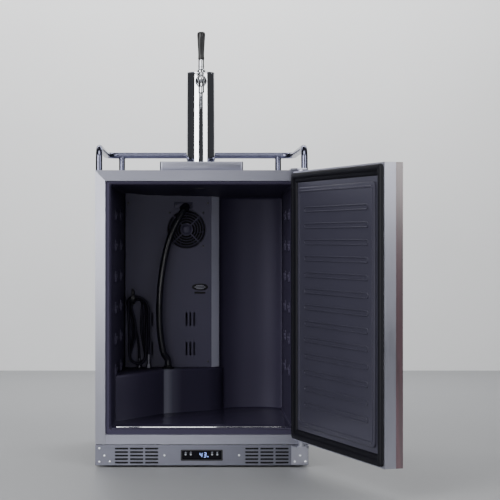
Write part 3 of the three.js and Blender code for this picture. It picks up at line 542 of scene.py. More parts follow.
def screw_head(bm, spot, radius, proud, axis):
    """Pan-head screw with a cross recess. The head stands out along axis from the plane."""
    profile = [(radius, 0), (radius, 0.35), (radius * 0.93, proud * 0.62), (radius * 0.7, proud * 0.9),
               (radius * 0.42, proud)]
    rings = [[(r * c, r * s, h) for c, s in circle(24)] for r, h in profile]
    star = []
    for i in range(24):
        arm = radius * 0.36 if (i % 6) in (0, 1) else radius * 0.14
        angle = 2 * math.pi * (i - 0.5) / 24
        star.append((arm * math.cos(angle), arm * math.sin(angle), proud * 0.5))
    part = bmesh.new()
    lofted(part, [*rings, star], place=lambda *p: Vector(p) * MM)
    lean = {"-y": 90, "y": -90, "z": 0}[axis]
    part.transform(Matrix.Translation(at(*spot)) @ Matrix.Rotation(math.radians(lean), 4, "X"))
    merge(bm, part)


def add_screws(name, material, spots, radius, proud, axis="-y"):
    bm = bmesh.new()
    for spot in spots:
        screw_head(bm, spot, radius, proud, axis)
    piece(name, bm, material)


def keep(node, material, bevel=0.6, sharp=35):
    """A CAD node that stays, with its own material and softened edges."""
    made = frame["nodes"][node]
    made.data.materials.clear()
    made.data.materials.append(M[material])
    for face in made.data.polygons:
        face.use_smooth = True
    made.data.set_sharp_from_angle(angle=math.radians(sharp))
    if bevel:
        soften(made, bevel)
    return made


# ---------- shell ----------
def add_shell():
    for side in ("left", "right"):
        keep(f"side_panel_{side}", "black_steel", 0.7)
        keep(f"face_stile_{side}", "steel_upright", 0.8)
        keep(f"insulation_{side}", "foam", 0)
    keep("face_rail_top", "steel_across_shaded", 0.8)
    keep("face_rail_bottom", "steel_across_shaded", 0.8)
    keep("top_deck", "steel_deck", 0.7)
    keep("base_pan", "zinc", 0.6)
    for node in ("insulation_top", "insulation_rear", "insulation_floor"):
        keep(node, "foam", 0)
    for corner in ("front_left", "front_right", "rear_left", "rear_right"):
        keep(f"foot_{corner}", "black", 0.8)


def add_rear():
    outer = rounded_outline(-297.6, 297.6, 22.3, 834.5, 2)
    holes = [circle_outline(120, 48, 8.3, 24)]
    for row in range(6):
        z = 60 + row * 20
        for x0, x1 in ((-250, -150), (-120, -20)):
            holes.append(rounded_outline(x0, x1, z, z + 7, 3.4, 5))
    mesh = plate_mesh(outer, holes, BACK - 2, BACK, edge=0.3)
    piece("rear_sheet", mesh, "zinc", ["rear_panel"], flat=True)
    spots = [(x, BACK, z) for x in (-285, 285) for z in (60, 250, 440, 630, 815)]
    spots += [(x, BACK, z) for x in (-140, 0, 140) for z in (815, 34)]
    add_screws("rear_screws", "zinc", spots, 4, 1.8, "y")
    keep("power_gland", "black", 0.5)
    keep("compressor", "black_steel", 1.2)
    keep("condenser", "black_steel", 0.5)
    keep("condenser_fan", "black", 0.4)


# ---------- kick plate and controls ----------
def add_kick_plate():
    holes = []
    for side in (-1, 1):
        for column in range(3):
            for row in range(5):
                x, z = side * (141 + column * 42.5), 13.5 + row * 9.85
                holes.append(rounded_outline(x - 18.75, x + 18.75, z - 2.5, z + 2.5, 2.2, 4))
    holes.append(rounded_outline(-58, 58, 20, 49.2, 2.5))
    outer = rounded_outline(-300, 300, 6, 63.5, 1.2)
    mesh = plate_mesh(outer, holes, 0, 2, edge=0.35)
    piece("kick_plate", mesh, "steel_kick_shaded", ["kick_grille"], flat=True)
    spots = ((-288.5, 54), (-274, 33), (-288.5, 16), (-258.7, 16), (-105, 34), (105, 34))
    add_screws("kick_screws", "screw", [(x, 0, z) for x, z in spots], 2.9, 1.5)
    # near-black sheet behind the slots: painted shade for the dark space behind them
    bm = bmesh.new()
    rounded_box(bm, -262, 262, 5, 7, 7, 62, 0.8)
    piece("kick_shade_sheet", bm, "black_and_shade")


# the seven bars of a digit: (x0, z0, x1, z1) in units of its width and half height
BARS = {"a": (0, 2, 1, 2), "b": (1, 1, 1, 2), "c": (1, 0, 1, 1), "d": (0, 0, 1, 0), "e": (0, 0, 0, 1),
        "f": (0, 1, 0, 2), "g": (0, 1, 1, 1)}
DIGIT_BARS = {"4": "bcfg", "3": "abcdg"}


def add_digit(bm, x, z, width, height, digit, y):
    thick = 0.7
    lean = 0.09
    for name in DIGIT_BARS[digit]:
        x0, z0, x1, z1 = BARS[name]
        (ax, az), (bx, bz) = ((x + a * width + b * height / 2 * lean, z + b * height / 2)
                              for a, b in ((x0, z0), (x1, z1)))
        signs = ((-1, 1), (1, 1), (1, -1), (-1, -1)) if x0 == x1 else ((1, -1), (-1, -1), (-1, 1), (1, 1))
        ends = ((ax, az), (ax, az), (bx, bz), (bx, bz)) if x0 == x1 else ((ax, az), (bx, bz), (bx, bz), (ax, az))
        corners = [(a + i * thick, b + k * thick) for (a, b), (i, k) in zip(ends, signs)]
        lofted(bm, [[(a, y, b) for a, b in corners], [(a, y - 0.15, b) for a, b in corners]])


def add_controls():
    keep("control_housing", "black", 0.5)
    bezel = plate_mesh(rounded_outline(-59.2, 59.2, 19, 50.2, 3),
                       [rounded_outline(-56.4, 56.4, 21.8, 47.4, 1.6)], -1.5, -0.05, edge=0.4)
    piece("fascia_bezel", bezel, "black", flat=True)
    holes = [circle_outline(x, BUTTONS_Z, 2.9, 24) for x in BUTTONS_X]
    glass = plate_mesh(rounded_outline(-55.8, 55.8, 22.3, 46.9, 1.2), holes, -0.6, 1.2, edge=0.25)
    piece("fascia_glass", glass, "glass", ["control_glass"], flat=True)
    face = -0.62
    bm = bmesh.new()
    add_digit(bm, -6.2, 29, 6.2, 12.6, "4", face)
    add_digit(bm, 5.2, 29, 6.2, 12.6, "3", face)
    lofted(bm, [[(a, y, b) for a, b in circle_outline(17.2, 30.5, 1.5, 16)] for y in (face, face - 0.15)])
    piece("display_digits", bm, "digits")
    bm = bmesh.new()
    for x in BUTTONS_X:
        for k in (-1, 0, 1):
            block(bm, x + k * 1.7 - 0.5, x + k * 1.7 + 0.5, face - 0.1, face, 42, 43.4 + (k == 0) * 0.8)
    piece("fascia_marks", bm, "marks")
    for i, x in enumerate(BUTTONS_X, 1):
        profile = [(0, 4), (2.5, 4), (2.5, -1.2), (2.2, -1.55), (0, -1.6)]
        mesh = turned_mesh(profile, (x, BUTTONS_Z), "y", 32)
        piece(f"key_{i}", mesh, "button", [f"button_{i}"], f"button_{i}")


# ---------- bay liner ----------
def ceiling(y):
    fall = (BAY["top_front"] - BAY["top_rear"]) / (COVER_Y - BAY["front"])
    if y <= COVER_Y:
        return BAY["top_front"] - (y - BAY["front"]) * fall
    return max(BAY["corner"], BAY["top_rear"] - (y - COVER_Y) * 0.325)


def left_wall(y):
    return -BAY["half"] + BAY["left_draft"] * (y - BAY["front"]) / (BAY["rear"] - BAY["front"])


def bay_outline():
    """Plan of the walls from the front right round the rear to the front left."""
    hollow = []
    for i in range(41):
        across = 1 - i / 20
        hollow.append((159 + across * 98, 524 + 26 * (1 - abs(across) ** 3)))
    right = [(BAY["half"], BAY["front"]), (BAY["half"], 524)]
    left = [(61, BAY["rear"]), (left_wall(BAY["rear"]), BAY["rear"]), (left_wall(BAY["front"]), BAY["front"])]
    plain = rounded_path([*right, hollow[0], hollow[2]], 3.5, 4) + hollow[3:] + rounded_path(left, 9, 6)
    # more points along the side walls
    made = []
    for a, b in zip(plain, plain[1:]):
        steps = max(1, round(math.dist(a, b) / 60))
        made += [(a[0] + (b[0] - a[0]) * k / steps, a[1] + (b[1] - a[1]) * k / steps) for k in range(steps)]
    return made + [plain[-1]]


def inward(points, distance):
    """An open outline moved to its left by a distance."""
    moved = []
    for i, (x, y) in enumerate(points):
        ax, ay = points[max(i - 1, 0)]
        bx, by = points[min(i + 1, len(points) - 1)]
        along = Vector((bx - ax, by - ay)).normalized()
        moved.append((x - along.y * distance, y + along.x * distance))
    return moved


# a quarter round as (1 - sine, 1 - cosine) of its angle
QUARTER = [(1 - math.sin(math.pi / 2 * k / 4), 1 - math.cos(math.pi / 2 * k / 4)) for k in range(5)]


def open_behind_step(bm):
    """Cuts away the floor and walls behind the step's front, where the machine compartment is."""
    edge = [(-266, 165.3), (-116.5, 392.2), (-3, 459.6), (75, 552)]
    lines = [(at(*a, 0), Vector((b[1] - a[1], a[0] - b[0], 0))) for a, b in zip(edge, edge[1:])]
    top = at(0, 0, STEP_TOP - 2)
    for place, normal in [*lines, (top, Vector((0, 0, 1)))]:
        bmesh.ops.bisect_plane(bm, geom=[*bm.verts, *bm.edges, *bm.faces], plane_co=place, plane_no=normal)
    hidden = []
    for face in bm.faces:
        centre = face.calc_center_median()
        first, second, third = ((centre - place).dot(normal) < 0 for place, normal in lines)
        if centre.z < top.z and (first or (second and third)):
            hidden.append(face)
    bmesh.ops.delete(bm, geom=hidden, context="FACES")


def add_liner():
    bm = bmesh.new()
    plan = bay_outline()
    radius, floor = 10, BAY["floor"]
    rings = [[(x, y, floor + radius * rise) for x, y in inward(plan, radius * run)] for run, rise in QUARTER]
    rings += [[(x, y, floor + radius + share * (ceiling(y) - floor - 2 * radius)) for x, y in plan]
              for share in (0.25, 0.5, 0.75)]
    for rise, run in QUARTER:
        rings.append([(x, y, ceiling(wall_y) - radius * rise)
                      for (x, y), (_, wall_y) in zip(inward(plan, radius * run), plan)])
    rows = lofted(bm, rings, closed=False, caps=False)
    bm.faces.new(rows[0])
    top = bm.faces.new(rows[-1])
    bmesh.ops.triangulate(bm, faces=[top])
    open_behind_step(bm)
    made = piece("bay_liner", bm, "liner", ["inner_liner"], sharp=40)
    # the floor faces get the copy of the liner with painted shade
    made.data.materials.append(M["bay_floor_shaded"])
    for face in made.data.polygons:
        if face.center.z < at(0, 0, floor + 3).z:
            face.material_index = 1
    hollow_wall(made, 2.4)
    # front flange that closes the gap to the face frame
    mouth = rounded_outline(-261, 261, 106, 801, 8)
    flange = plate_mesh(rounded_outline(-271.7, 271.7, 92.3, 806.7, 6), [mouth], 6.5, 9, edge=0.4)
    piece("bay_flange", flange, "liner", flat=True)


def add_step():
    """Moulded step over the compressor, with a rounded top edge."""
    sharp = rounded_path([(-260.4, 163), (-112, 388), (0, 454.4)], 15, 7)
    gentle = smooth_line([(0, 454.4, 0), (33, 474, 0), (59, 499, 0), (72, 523, 0), (78, 546, 0)], 6)
    plan = sharp[:-1] + [(x, y) for x, y, _ in gentle]
    radius = 8
    rings = [[(x, y, BAY["floor"] - 0.5) for x, y in inward(plan, -3)],
             [(x, y, BAY["floor"] + 1.2) for x, y in inward(plan, -1)],
             [(x, y, BAY["floor"] + 4) for x, y in plan],
             [(x, y, STEP_TOP - 60) for x, y in plan]]
    rings += [[(x, y, STEP_TOP - radius * rise) for x, y in inward(plan, radius * run)] for rise, run in QUARTER]
    bm = bmesh.new()
    rows = lofted(bm, rings, closed=False, caps=False)
    corner = bm.verts.new(at(left_wall(546) - 0.4, 546, STEP_TOP))
    bm.faces.new([*rows[-1], corner])
    # the step's material paints a highlight band along its front corner
    hollow_wall(piece("bay_step", bm, "step", sharp=50), 2.2)


def add_guides():
    """Shelf guides on both walls: each has a pair of ridges over a hooked ledge."""
    bm = bmesh.new()

    def on_wall(side, y0, y1, z0, z1, proud, width):
        middle = (y0 + y1) / 2
        wall = left_wall(middle) if side < 0 else BAY["half"]
        x0, x1 = sorted((wall - side * proud, wall + side * 1.2))
        rounded_box(bm, x0, x1, y0, y1, z0, z1, width, 2)

    for side in (-1, 1):
        for level in range(6):
            z = 257 + level * 91
            for y in (180, 350):
                on_wall(side, y - 25, y + 25, z - 13, z + 1, 6.8, 2)
                on_wall(side, y - 25, y - 19, z - 1, z + 9, 6.8, 1.6)
                on_wall(side, y + 17, y + 25, z - 1, z + 9, 6.8, 1.6)
                on_wall(side, y - 12, y - 6, z + 1, z + 19, 4, 1.6)
                on_wall(side, y + 4, y + 10, z + 1, z + 19, 4, 1.6)
    piece("shelf_guides", bm, "liner")


def add_floor_trim():
    """Polished strip on the front edge of the floor, and two domed studs behind it."""
    bm = bmesh.new()
    rounded_box(bm, -243, 245, 36, 40, 106.2, 110.2, 0.8)
    piece("floor_trim", bm, "chrome")
    add_screws("floor_studs", "zinc", [(12, 438, 106.2), (218, 351, 106.2)], 3.5, 1.6, "z")
    # rubber sleeve of the passage into the tower
    bm = bmesh.new()
    top = ceiling(TOWER_Y)
    turned(bm, [(21, top - 1), (30, top - 3.5), (33, top - 2.5), (33, top + 0.5), (28, top + 3), (28, top + 34),
                (24, top + 34), (21, top + 30), (21, top - 1)], (0, TOWER_Y))
    piece("passage_sleeve", bm, "black")


# ---------- evaporator cover, fan and sensor ----------
def add_cover():
    holes = []
    for z0 in (279, 371):
        for x0 in (-173, -161, -149, -42, -30, -18):
            holes.append(rounded_outline(x0 - 2.65, x0 + 2.65, z0, z0 + 42, 2.5, 4))
    for inner, outer in ((20, 26), (28.4, 34.2), (36.6, 42.4), (44.8, 50.6), (53, 58.8)):
        margin = math.degrees(2.2 / outer)
        for quarter in range(4):
            start = 45 + quarter * 90
            holes.append(arc_slot(FAN_X, FAN_Z, inner, outer, start + margin, start + 90 - margin))
    outer = rounded_outline(-233.5, 36, 242.3, 787, 3)
    bm = bmesh.new()
    absorb(bm, plate_mesh(outer, holes, COVER_Y, COVER_Y + 2.5, edge=0.7))
    # raised rim and hub of the fan grille
    turned(bm, [(62, COVER_Y + 1), (62, COVER_Y - 0.6), (61, COVER_Y - 1.2), (59.6, COVER_Y - 1.2),
                (59, COVER_Y + 1), (62, COVER_Y + 1)], (FAN_X, FAN_Z), "y", 96)
    turned(bm, [(0, COVER_Y - 2.6), (9, COVER_Y - 2.3), (15, COVER_Y - 1), (17.5, COVER_Y + 1), (0, COVER_Y + 1)],
           (FAN_X, FAN_Z), "y", 48)
    left = [(-233.4, 528), (-233.4, COVER_Y + 0.6), (-231, COVER_Y + 0.6), (-231, 528)]
    lofted(bm, [[(x, y, z) for x, y in reversed(left)] for z in (242.6, 786.5)])
    piece("air_cover", bm, "cover", ["evaporator_cover"], flat=True)
    # bevelled side of the cover, turned back to the rear wall, painted pale as a highlight
    side = rounded_path([(35.4, COVER_Y + 0.4), (61, COVER_Y + 21), (61, 546)], 3, 3)
    loop = side + list(reversed(inward(side, 2.2)))
    bm = bmesh.new()
    lofted(bm, [[(x, y, z) for x, y in loop] for z in (242.6, 782.8)])
    piece("cover_side", bm, "pale_and_highlight", sharp=30)
    spots = [(-224, 755), (25, 755), (-224, 260), (25, 260)]
    spots += [(FAN_X + a * 52.5, FAN_Z + b * 52.5) for a in (-1, 1) for b in (-1, 1)]
    add_screws("cover_screws", "black", [(x, COVER_Y, z) for x, z in spots], 3.1, 1.5)
    keep("fan_frame", "black_and_shade", 0.5)
    keep("evaporator_coil", "fins", 0.3)


def add_fan_rotor():
    """Seven curved, pitched blades round a capped hub."""
    y0 = COVER_Y + 6
    bm = bmesh.new()
    turned(bm, [(0, y0), (14, y0 + 0.4), (18, y0 + 2), (19, y0 + 5), (19, y0 + 13.4), (0, y0 + 13.4)],
           (FAN_X, FAN_Z), "y", 48)
    for blade in range(7):
        rows = []
        for i in range(7):
            radius = 17 + i * 6
            sweep = 0.055 * i
            row_front, row_back = [], []
            for j in range(6):
                angle = 2 * math.pi * blade / 7 + sweep + (j / 5 - 0.5) * (0.95 - 0.03 * i)
                lift = y0 + 1.5 + j / 5 * 10 + math.sin(j / 5 * math.pi) * 1.2
                for row, offset in ((row_front, 0), (row_back, 1.1)):
                    row.append((FAN_X + radius * math.cos(angle), lift + offset, FAN_Z + radius * math.sin(angle)))
            rows.append(row_front + list(reversed(row_back)))
        lofted(bm, rows)
    piece("fan_rotor", bm, "black_and_shade", ["evaporator_fan"], "evaporator_fan")


def add_sensor():
    """Oval housing with louvres, and a bar below it."""
    bm = bmesh.new()
    layers = ((25, 10.5, -0.3), (25, 10.5, -4), (24, 9.6, -5.6), (21.5, 7.6, -6.2))
    lofted(bm, [[(a * c, COVER_Y + y, SENSOR_Z + b * s) for c, s in circle(48)] for a, b, y in layers])
    rounded_box(bm, -17, 17, COVER_Y - 4, COVER_Y - 0.2, 472, 478, 1.4)
    piece("sensor_housing", bm, "black_and_shade", ["sensor_cover"])
    bm = bmesh.new()
    for dz, half in ((-5, 12), (0, 17), (5, 12)):
        z = SENSOR_Z + dz
        rounded_box(bm, -half, half, COVER_Y - 7.4, COVER_Y - 6, z - 0.9, z + 0.9, 0.4, 2)
    piece("sensor_louvres", bm, "pale_and_highlight")


# ---------- hoses ----------
HOSE_ROUTE = [
    (-51.2, 446, 733.2), (-61.5, 441.4, 716), (-79, 434, 682), (-96, 428, 640), (-108, 424, 594),
    (-117, 421, 545), (-123, 419, 495), (-125.5, 418, 450), (-126, 419, 410), (-124.5, 421, 366),
    (-120, 425, 326), (-113, 430, 290), (-101, 438, 270), (*GROMMET, 252.5),
]


def add_cooling_hose():
    line = smooth_line(HOSE_ROUTE, 7)
    bm = bmesh.new()
    swept(bm, line, 9.9, 28)
    hose = piece("air_hose", bm, "hose", ["cooling_hose"])
    # elbow with a collar, on its screwed plate
    bm = bmesh.new()
    elbow = smooth_line([(-45, COVER_Y - 1, 744), (-45, 462, 743.5), (-46.5, 452, 741), (-51, 446.3, 734)], 6)
    swept(bm, elbow, 13, 28)
    ring = smooth_line([(-48.6, 448.7, 738.4), (-51, 446.3, 733.8)], 2)
    swept(bm, ring, 14.2, 28)
    piece("hose_elbow", bm, "glossy")
    bm = bmesh.new()
    rounded_box(bm, -81, -23, COVER_Y - 3.3, COVER_Y - 0.3, 738, 758, 1.2)
    piece("elbow_plate", bm, "cover", ["duct_elbow"])
    add_screws("elbow_screws", "black", [(x, COVER_Y - 3.3, 748) for x in (-75, -29)], 2.6, 1.3)
    mesh = turned_mesh([(10.2, 242.3), (19, 242.3), (19, 244), (17.5, 245.6), (13.5, 246.6),
                        (12.4, 250.2), (11, 251), (10.2, 250), (10.2, 242.3)], GROMMET)
    piece("step_grommet", mesh, "gasket", ["hose_grommet"])


FOLD = 25  # radius of the folds of the hank


def hank_path():
    """Up from the bulkhead, four turns of the hank from rear to front, and down to the coupling."""
    line = [(*INLET, 270.6), (*INLET, 285), (-190.6, 475.5, 300), (-193, 473.5, 325), (-199, 469.5, 355),
            (-209, 466.4, 390), (-220, 465, 420)]
    pitch = 8.4
    # each turn: sideways place and drop of its top, radius of its right shoulder, its runs at half height
    turns = ((0, 0, 23, -184, -208), (8, 4, 25, -174.5, -199), (14, 9, 28.5, -166.5, -220), (4, 0, 39.8, 0, 0))
    for turn, (aside, drop, shoulder, right_x, left_x) in enumerate(turns):
        y = 464.8 - turn * pitch
        x, top = -203.5 + aside, 465.6 - drop
        for i in range(5):
            angle = math.radians(180 - 90 * i / 4)
            line.append((x + FOLD * math.cos(angle), y - pitch * 0.03 * i, top - FOLD + FOLD * math.sin(angle)))
        for i in range(1, 6):
            angle = math.radians(90 - 90 * i / 5)
            line.append((x + shoulder * math.cos(angle), y - pitch * (0.12 + 0.03 * i),
                         top - shoulder + shoulder * math.sin(angle)))
        if turn == len(turns) - 1:
            break
        line.append((right_x * 0.7 + (x + shoulder) * 0.3, y - pitch * 0.33, 396))
        line.append((right_x, y - pitch * 0.4, 356))
        line.append(((right_x - 194 + FOLD) / 2, y - pitch * 0.46, 312))
        low = 277.4 + (0, 3, 1.4)[turn]
        for i in range(8):
            angle = math.radians(-4 - 172 * i / 7)
            line.append((-194 + FOLD * math.cos(angle), y - pitch * (0.52 + 0.03 * i), low + FOLD * math.sin(angle)))
        above = -203.5 - FOLD + turns[turn + 1][0]
        line.append(((left_x - 194 - FOLD) / 2, y - pitch * 0.8, 312))
        line.append((left_x, y - pitch * 0.86, 356))
        line.append((left_x * 0.6 + above * 0.4, y - pitch * 0.94, 402))
    y = 464.8 - (len(turns) - 1) * pitch - pitch * 0.3
    line += [(-159.4, y + 1, 392), (-159.2, y + 4, 356), (-159.5, y + 8, 322), (-159.8, 446.4, 302),
             (*COUPLING, 285.6)]
    return line


def add_gas_line():
    line = evened(smooth_line(hank_path(), 5))
    bm = bmesh.new()
    swept(bm, line, 3.7, 18)
    hose = piece("gas_hose", bm, "line", ["gas_line"])
    # strap over the peg, round the top of the hank
    rings = []
    for c, s in circle(24):
        out = Vector((c, s * 0.9))
        y, z = 448.5 + 21.6 * out.x, 461 + 20.4 * out.y / 0.9
        rings.append([(-212.5, y, z), (-203.5, y, z), (-203.5, y + out.x * 1.2, z + out.y * 1.2),
                      (-212.5, y + out.x * 1.2, z + out.y * 1.2)])
    bm = bmesh.new()
    lofted(bm, rings + [rings[0]], caps=False)
    piece("hank_strap", bm, "black")
    keep("line_hook", "black", 0.6)
    # coupling on the free end: hexagonal nut, ferrule and ring
    bm = bmesh.new()
    turned(bm, [(3.5, 243), (6.4, 243), (7.4, 244), (7.4, 255), (6.4, 256), (3.5, 256), (3.5, 243)], COUPLING, "z", 6)
    turned(bm, [(3.5, 256.2), (5.8, 256.2), (6.3, 257), (6.3, 260), (5.6, 261), (5.2, 262), (5.2, 265), (5.7, 266),
                (5.7, 283.6), (5.2, 284.8), (3.5, 284.8), (3.5, 256.2)], COUPLING, "z", 36)
    coupling = piece("gas_coupling", bm, "fitting",
                     ["gas_fitting"], sharp=25)
    inlet = turned_mesh([(0, 242.4), (7.5, 242.4), (7.5, 247.4), (6.9, 248), (6, 248.4), (6, 261), (5.4, 262),
                         (4.5, 262.6), (4.5, 269.6), (4.1, 270.2), (0, 270.3)], INLET, segments=32)
    bulkhead = piece("gas_bulkhead", inlet, "fitting", ["gas_inlet"], sharp=25)


# ---------- deck: rail, tray, tower and tap ----------
def add_rail():
    z, half, front, rear, bend, radius = 902.5, 290, 14, 453, 38, 9.5

    def bent(points):
        line = [points[0]]
        for before, corner, after in zip(points, points[1:], points[2:]):
            before, corner, after = Vector(before), Vector(corner), Vector(after)
            into, out = (corner - before).normalized(), (after - corner).normalized()
            centre = corner - into * bend + out * bend
            for i in range(13):
                angle = math.pi / 2 * i / 12
                line.append(tuple(centre - out * bend * math.cos(angle) + into * bend * math.sin(angle)))
        line.append(points[-1])
        return line

    line = bent([(-half, front, 837.4), (-half, front, z), (-half, rear, z), (half, rear, z),
                 (half, front, z), (half, front, 837.4)])
    bm = bmesh.new()
    swept(bm, line, radius, 32)
    for x in (-242.5, 242.5):
        turned(bm, [(0, 837.4), (radius, 837.4), (radius, z - 4), (0, z - 4)], (x, rear), segments=32)
        turned(bm, [(radius - 1, z - 12), (radius + 1.2, z - 10.5), (radius + 0.8, z - 8), (radius - 1, z - 7)],
               (x, rear), segments=32)
    piece("deck_rail", bm, "rail", ["guard_rail"], sharp=50)


def add_tray():
    low, high, middle_y = DECK_TOP, 864.3, 125
    outer = rounded_outline(-119, 119, 60, 190, 7)

    def inset(z, by):
        return [(x - math.copysign(by, x), y - math.copysign(by, y - middle_y), z) for x, y in outer]

    bm = bmesh.new()
    lofted(bm, [inset(low + 1.2, 1.2), inset(low + 2.5, 0), inset(high - 1, 0), inset(high, 0.8),
                inset(high, 1.7), inset(high - 1, 2), inset(low + 4, 2), inset(low + 2.4, 4)])
    piece("tray_pan", bm, "steel_across_shaded", ["drip_tray"], "drip_tray", sharp=50)
    holes = [rounded_outline(x - 3, x + 3, 78, 172, 2.9, 5) for x in range(-100, 101, 20)]
    mesh = plate_mesh(rounded_outline(-116.4, 116.4, 62.6, 187.4, 5), holes, 860.6, 862.1, "xy", 0.3)
    piece("tray_grille", mesh, "steel_across_shaded", ["drip_grille"], "drip_grille", flat=True)


def add_tower():
    base, top, radius, low = 840.6, 1138, TOWER_RADIUS, DECK_TOP
    column = [(40.2, base), (radius, base), (radius, top - 5), (radius - 0.4, top - 4.3), (40.2, top - 4.3),
              (40.2, base)]
    cap = [(0, top - 10), (39, top - 10), (39, top - 3.7), (radius - 0.5, top - 3.7), (radius, top - 3.2),
           (radius, top - 1.8), (radius - 0.5, top - 0.8), (radius - 1.8, top - 0.2), (radius - 4, top), (0, top)]
    flange = [(30, low), (53, low), (53, low + 3.6), (52, low + 4.8), (48, low + 6), (46, low + 8), (45.3, low + 11),
              (45.3, low + 15.2), (44.5, low + 16), (42.6, low + 16), (42.6, low + 3.2), (30, low + 3.2), (30, low)]
    for name, profile, segments, node in (("tower_tube", column, 160, "tower_column"),
                                          ("tower_lid", cap, 160, "tower_cap"),
                                          ("tower_foot", flange, 128, "tower_flange")):
        mesh = turned_mesh(profile, (0, TOWER_Y), segments=segments)
        piece(name, mesh, "chrome", [node])


def add_tap():
    shell = TOWER_Y - TOWER_RADIUS
    # shank with its round collar and hexagonal nut
    bm = bmesh.new()
    turned(bm, [(4, 183.3), (11, 183.3), (11, 238), (4, 238), (4, 183.3)], (0, SHANK_Z), "y", 48)
    turned(bm, [(11, shell - 8), (15.6, shell - 8), (17, shell - 6.8), (17, shell - 3), (16.4, shell - 2.2),
                (11, shell - 2.2)], (0, SHANK_Z), "y", 64)
    piece("tap_shank", bm, "tap", ["faucet_shank"])
    bm = bmesh.new()
    turned(bm, [(11, shell - 16.4), (16, shell - 16.4), (17.2, shell - 15.4), (17.2, shell - 9.4), (16, shell - 8.4),
                (11, shell - 8.4)], (0, SHANK_Z), "y", 6)
    piece("shank_nut", bm, "tap", sharp=20)
    # body: coupling ring, barrel, bonnet and spout
    bm = bmesh.new()
    turned(bm, [(9, 183), (14, 183), (15, 182), (15, 167.4), (14, 166.4), (10.6, 166.4),
                *[(10.6, 158 - 1.2 * i) for i in range(16)], (9.6, 133), (8.2, 129), (5, 126.4), (0, 125.6)],
           (0, SHANK_Z), "y", 64)
    # socket in the top of the barrel for the lever's ball
    for vert in bm.verts:
        away = vert.co - at(0, TAP_Y, TAP_PIVOT_Z)
        if math.hypot(away.x, away.y) < 7.7 * MM and away.z > -5 * MM:
            vert.co.z = at(0, 0, TAP_PIVOT_Z - 7.6).z
    turned(bm, [(10.2, 1110.6), (11, 1112), (11, 1116.6), (10.2, 1117.8), (7.3, 1118), (7.3, 1110.6), (10.2, 1110.6)],
           (0, TAP_Y), "z", 48)
    spout = smooth_line([(0, 146, 1104.5), (0, 139, 1101), (0, 130, 1090), (0, 125.6, 1078), (0, 124.3, 1066.3)], 8)
    swept(bm, spout, 8.3, 32)
    turned(bm, [(8.3, 1067), (8.9, 1067.4), (8.9, 1070), (8.3, 1071)], (0, 124.5), "z", 48)
    piece("tap_body", bm, "tap", ["faucet_body"], sharp=40)
    keep("tap_valve", "zinc", 0.2)
    # lever: ball, stem, collar and ferrule
    bm = bmesh.new()
    ball = [(6.6 * math.sin(math.pi * i / 16), TAP_PIVOT_Z - 6.6 * math.cos(math.pi * i / 16)) for i in range(17)]
    turned(bm, ball, (0, TAP_Y), "z", 40)
    turned(bm, [(0, TAP_PIVOT_Z), (4, TAP_PIVOT_Z + 3), (4, 1128), (10.8, 1128), (12, 1129), (12, 1133), (11, 1134.6),
                (9, 1136.5), (8.3, 1139), (8.2, 1143), (8.9, 1144.2), (8.9, 1147), (8.3, 1148.2), (8.3, 1163),
                (8.9, 1164), (8.4, 1165), (0, 1165)], (0, TAP_Y), "z", 64)
    piece("lever_stem", bm, "tap", ["tap_lever"], "tap_lever", sharp=30)
    # fluted grip, wider towards the top
    bm = bmesh.new()
    flutes, per = 8, 10
    profile = [(7.6, 1165.3, 0), (8.9, 1166, 0), (9.3, 1169, 0), (8.6, 1172, 0.35), (8.9, 1185, 1.0), (9.8, 1203, 1.2),
               (10.9, 1221, 1.2), (11.6, 1232, 0.9), (11.9, 1237, 0.3), (11.6, 1241, 0), (10.2, 1244.4, 0),
               (6.5, 1245.9, 0), (0.01, 1246, 0)]
    rings = []
    for radius, z, depth in profile:
        ring = []
        for i in range(flutes * per):
            angle = 2 * math.pi * i / (flutes * per)
            r = radius - depth * (0.5 - 0.5 * math.cos(flutes * angle)) ** 0.8
            ring.append((r * math.cos(angle), TAP_Y + r * math.sin(angle), z))
        rings.append(ring)
    lofted(bm, rings)
    piece("lever_grip", bm, "handle", ["tap_handle"], "tap_lever", sharp=50)


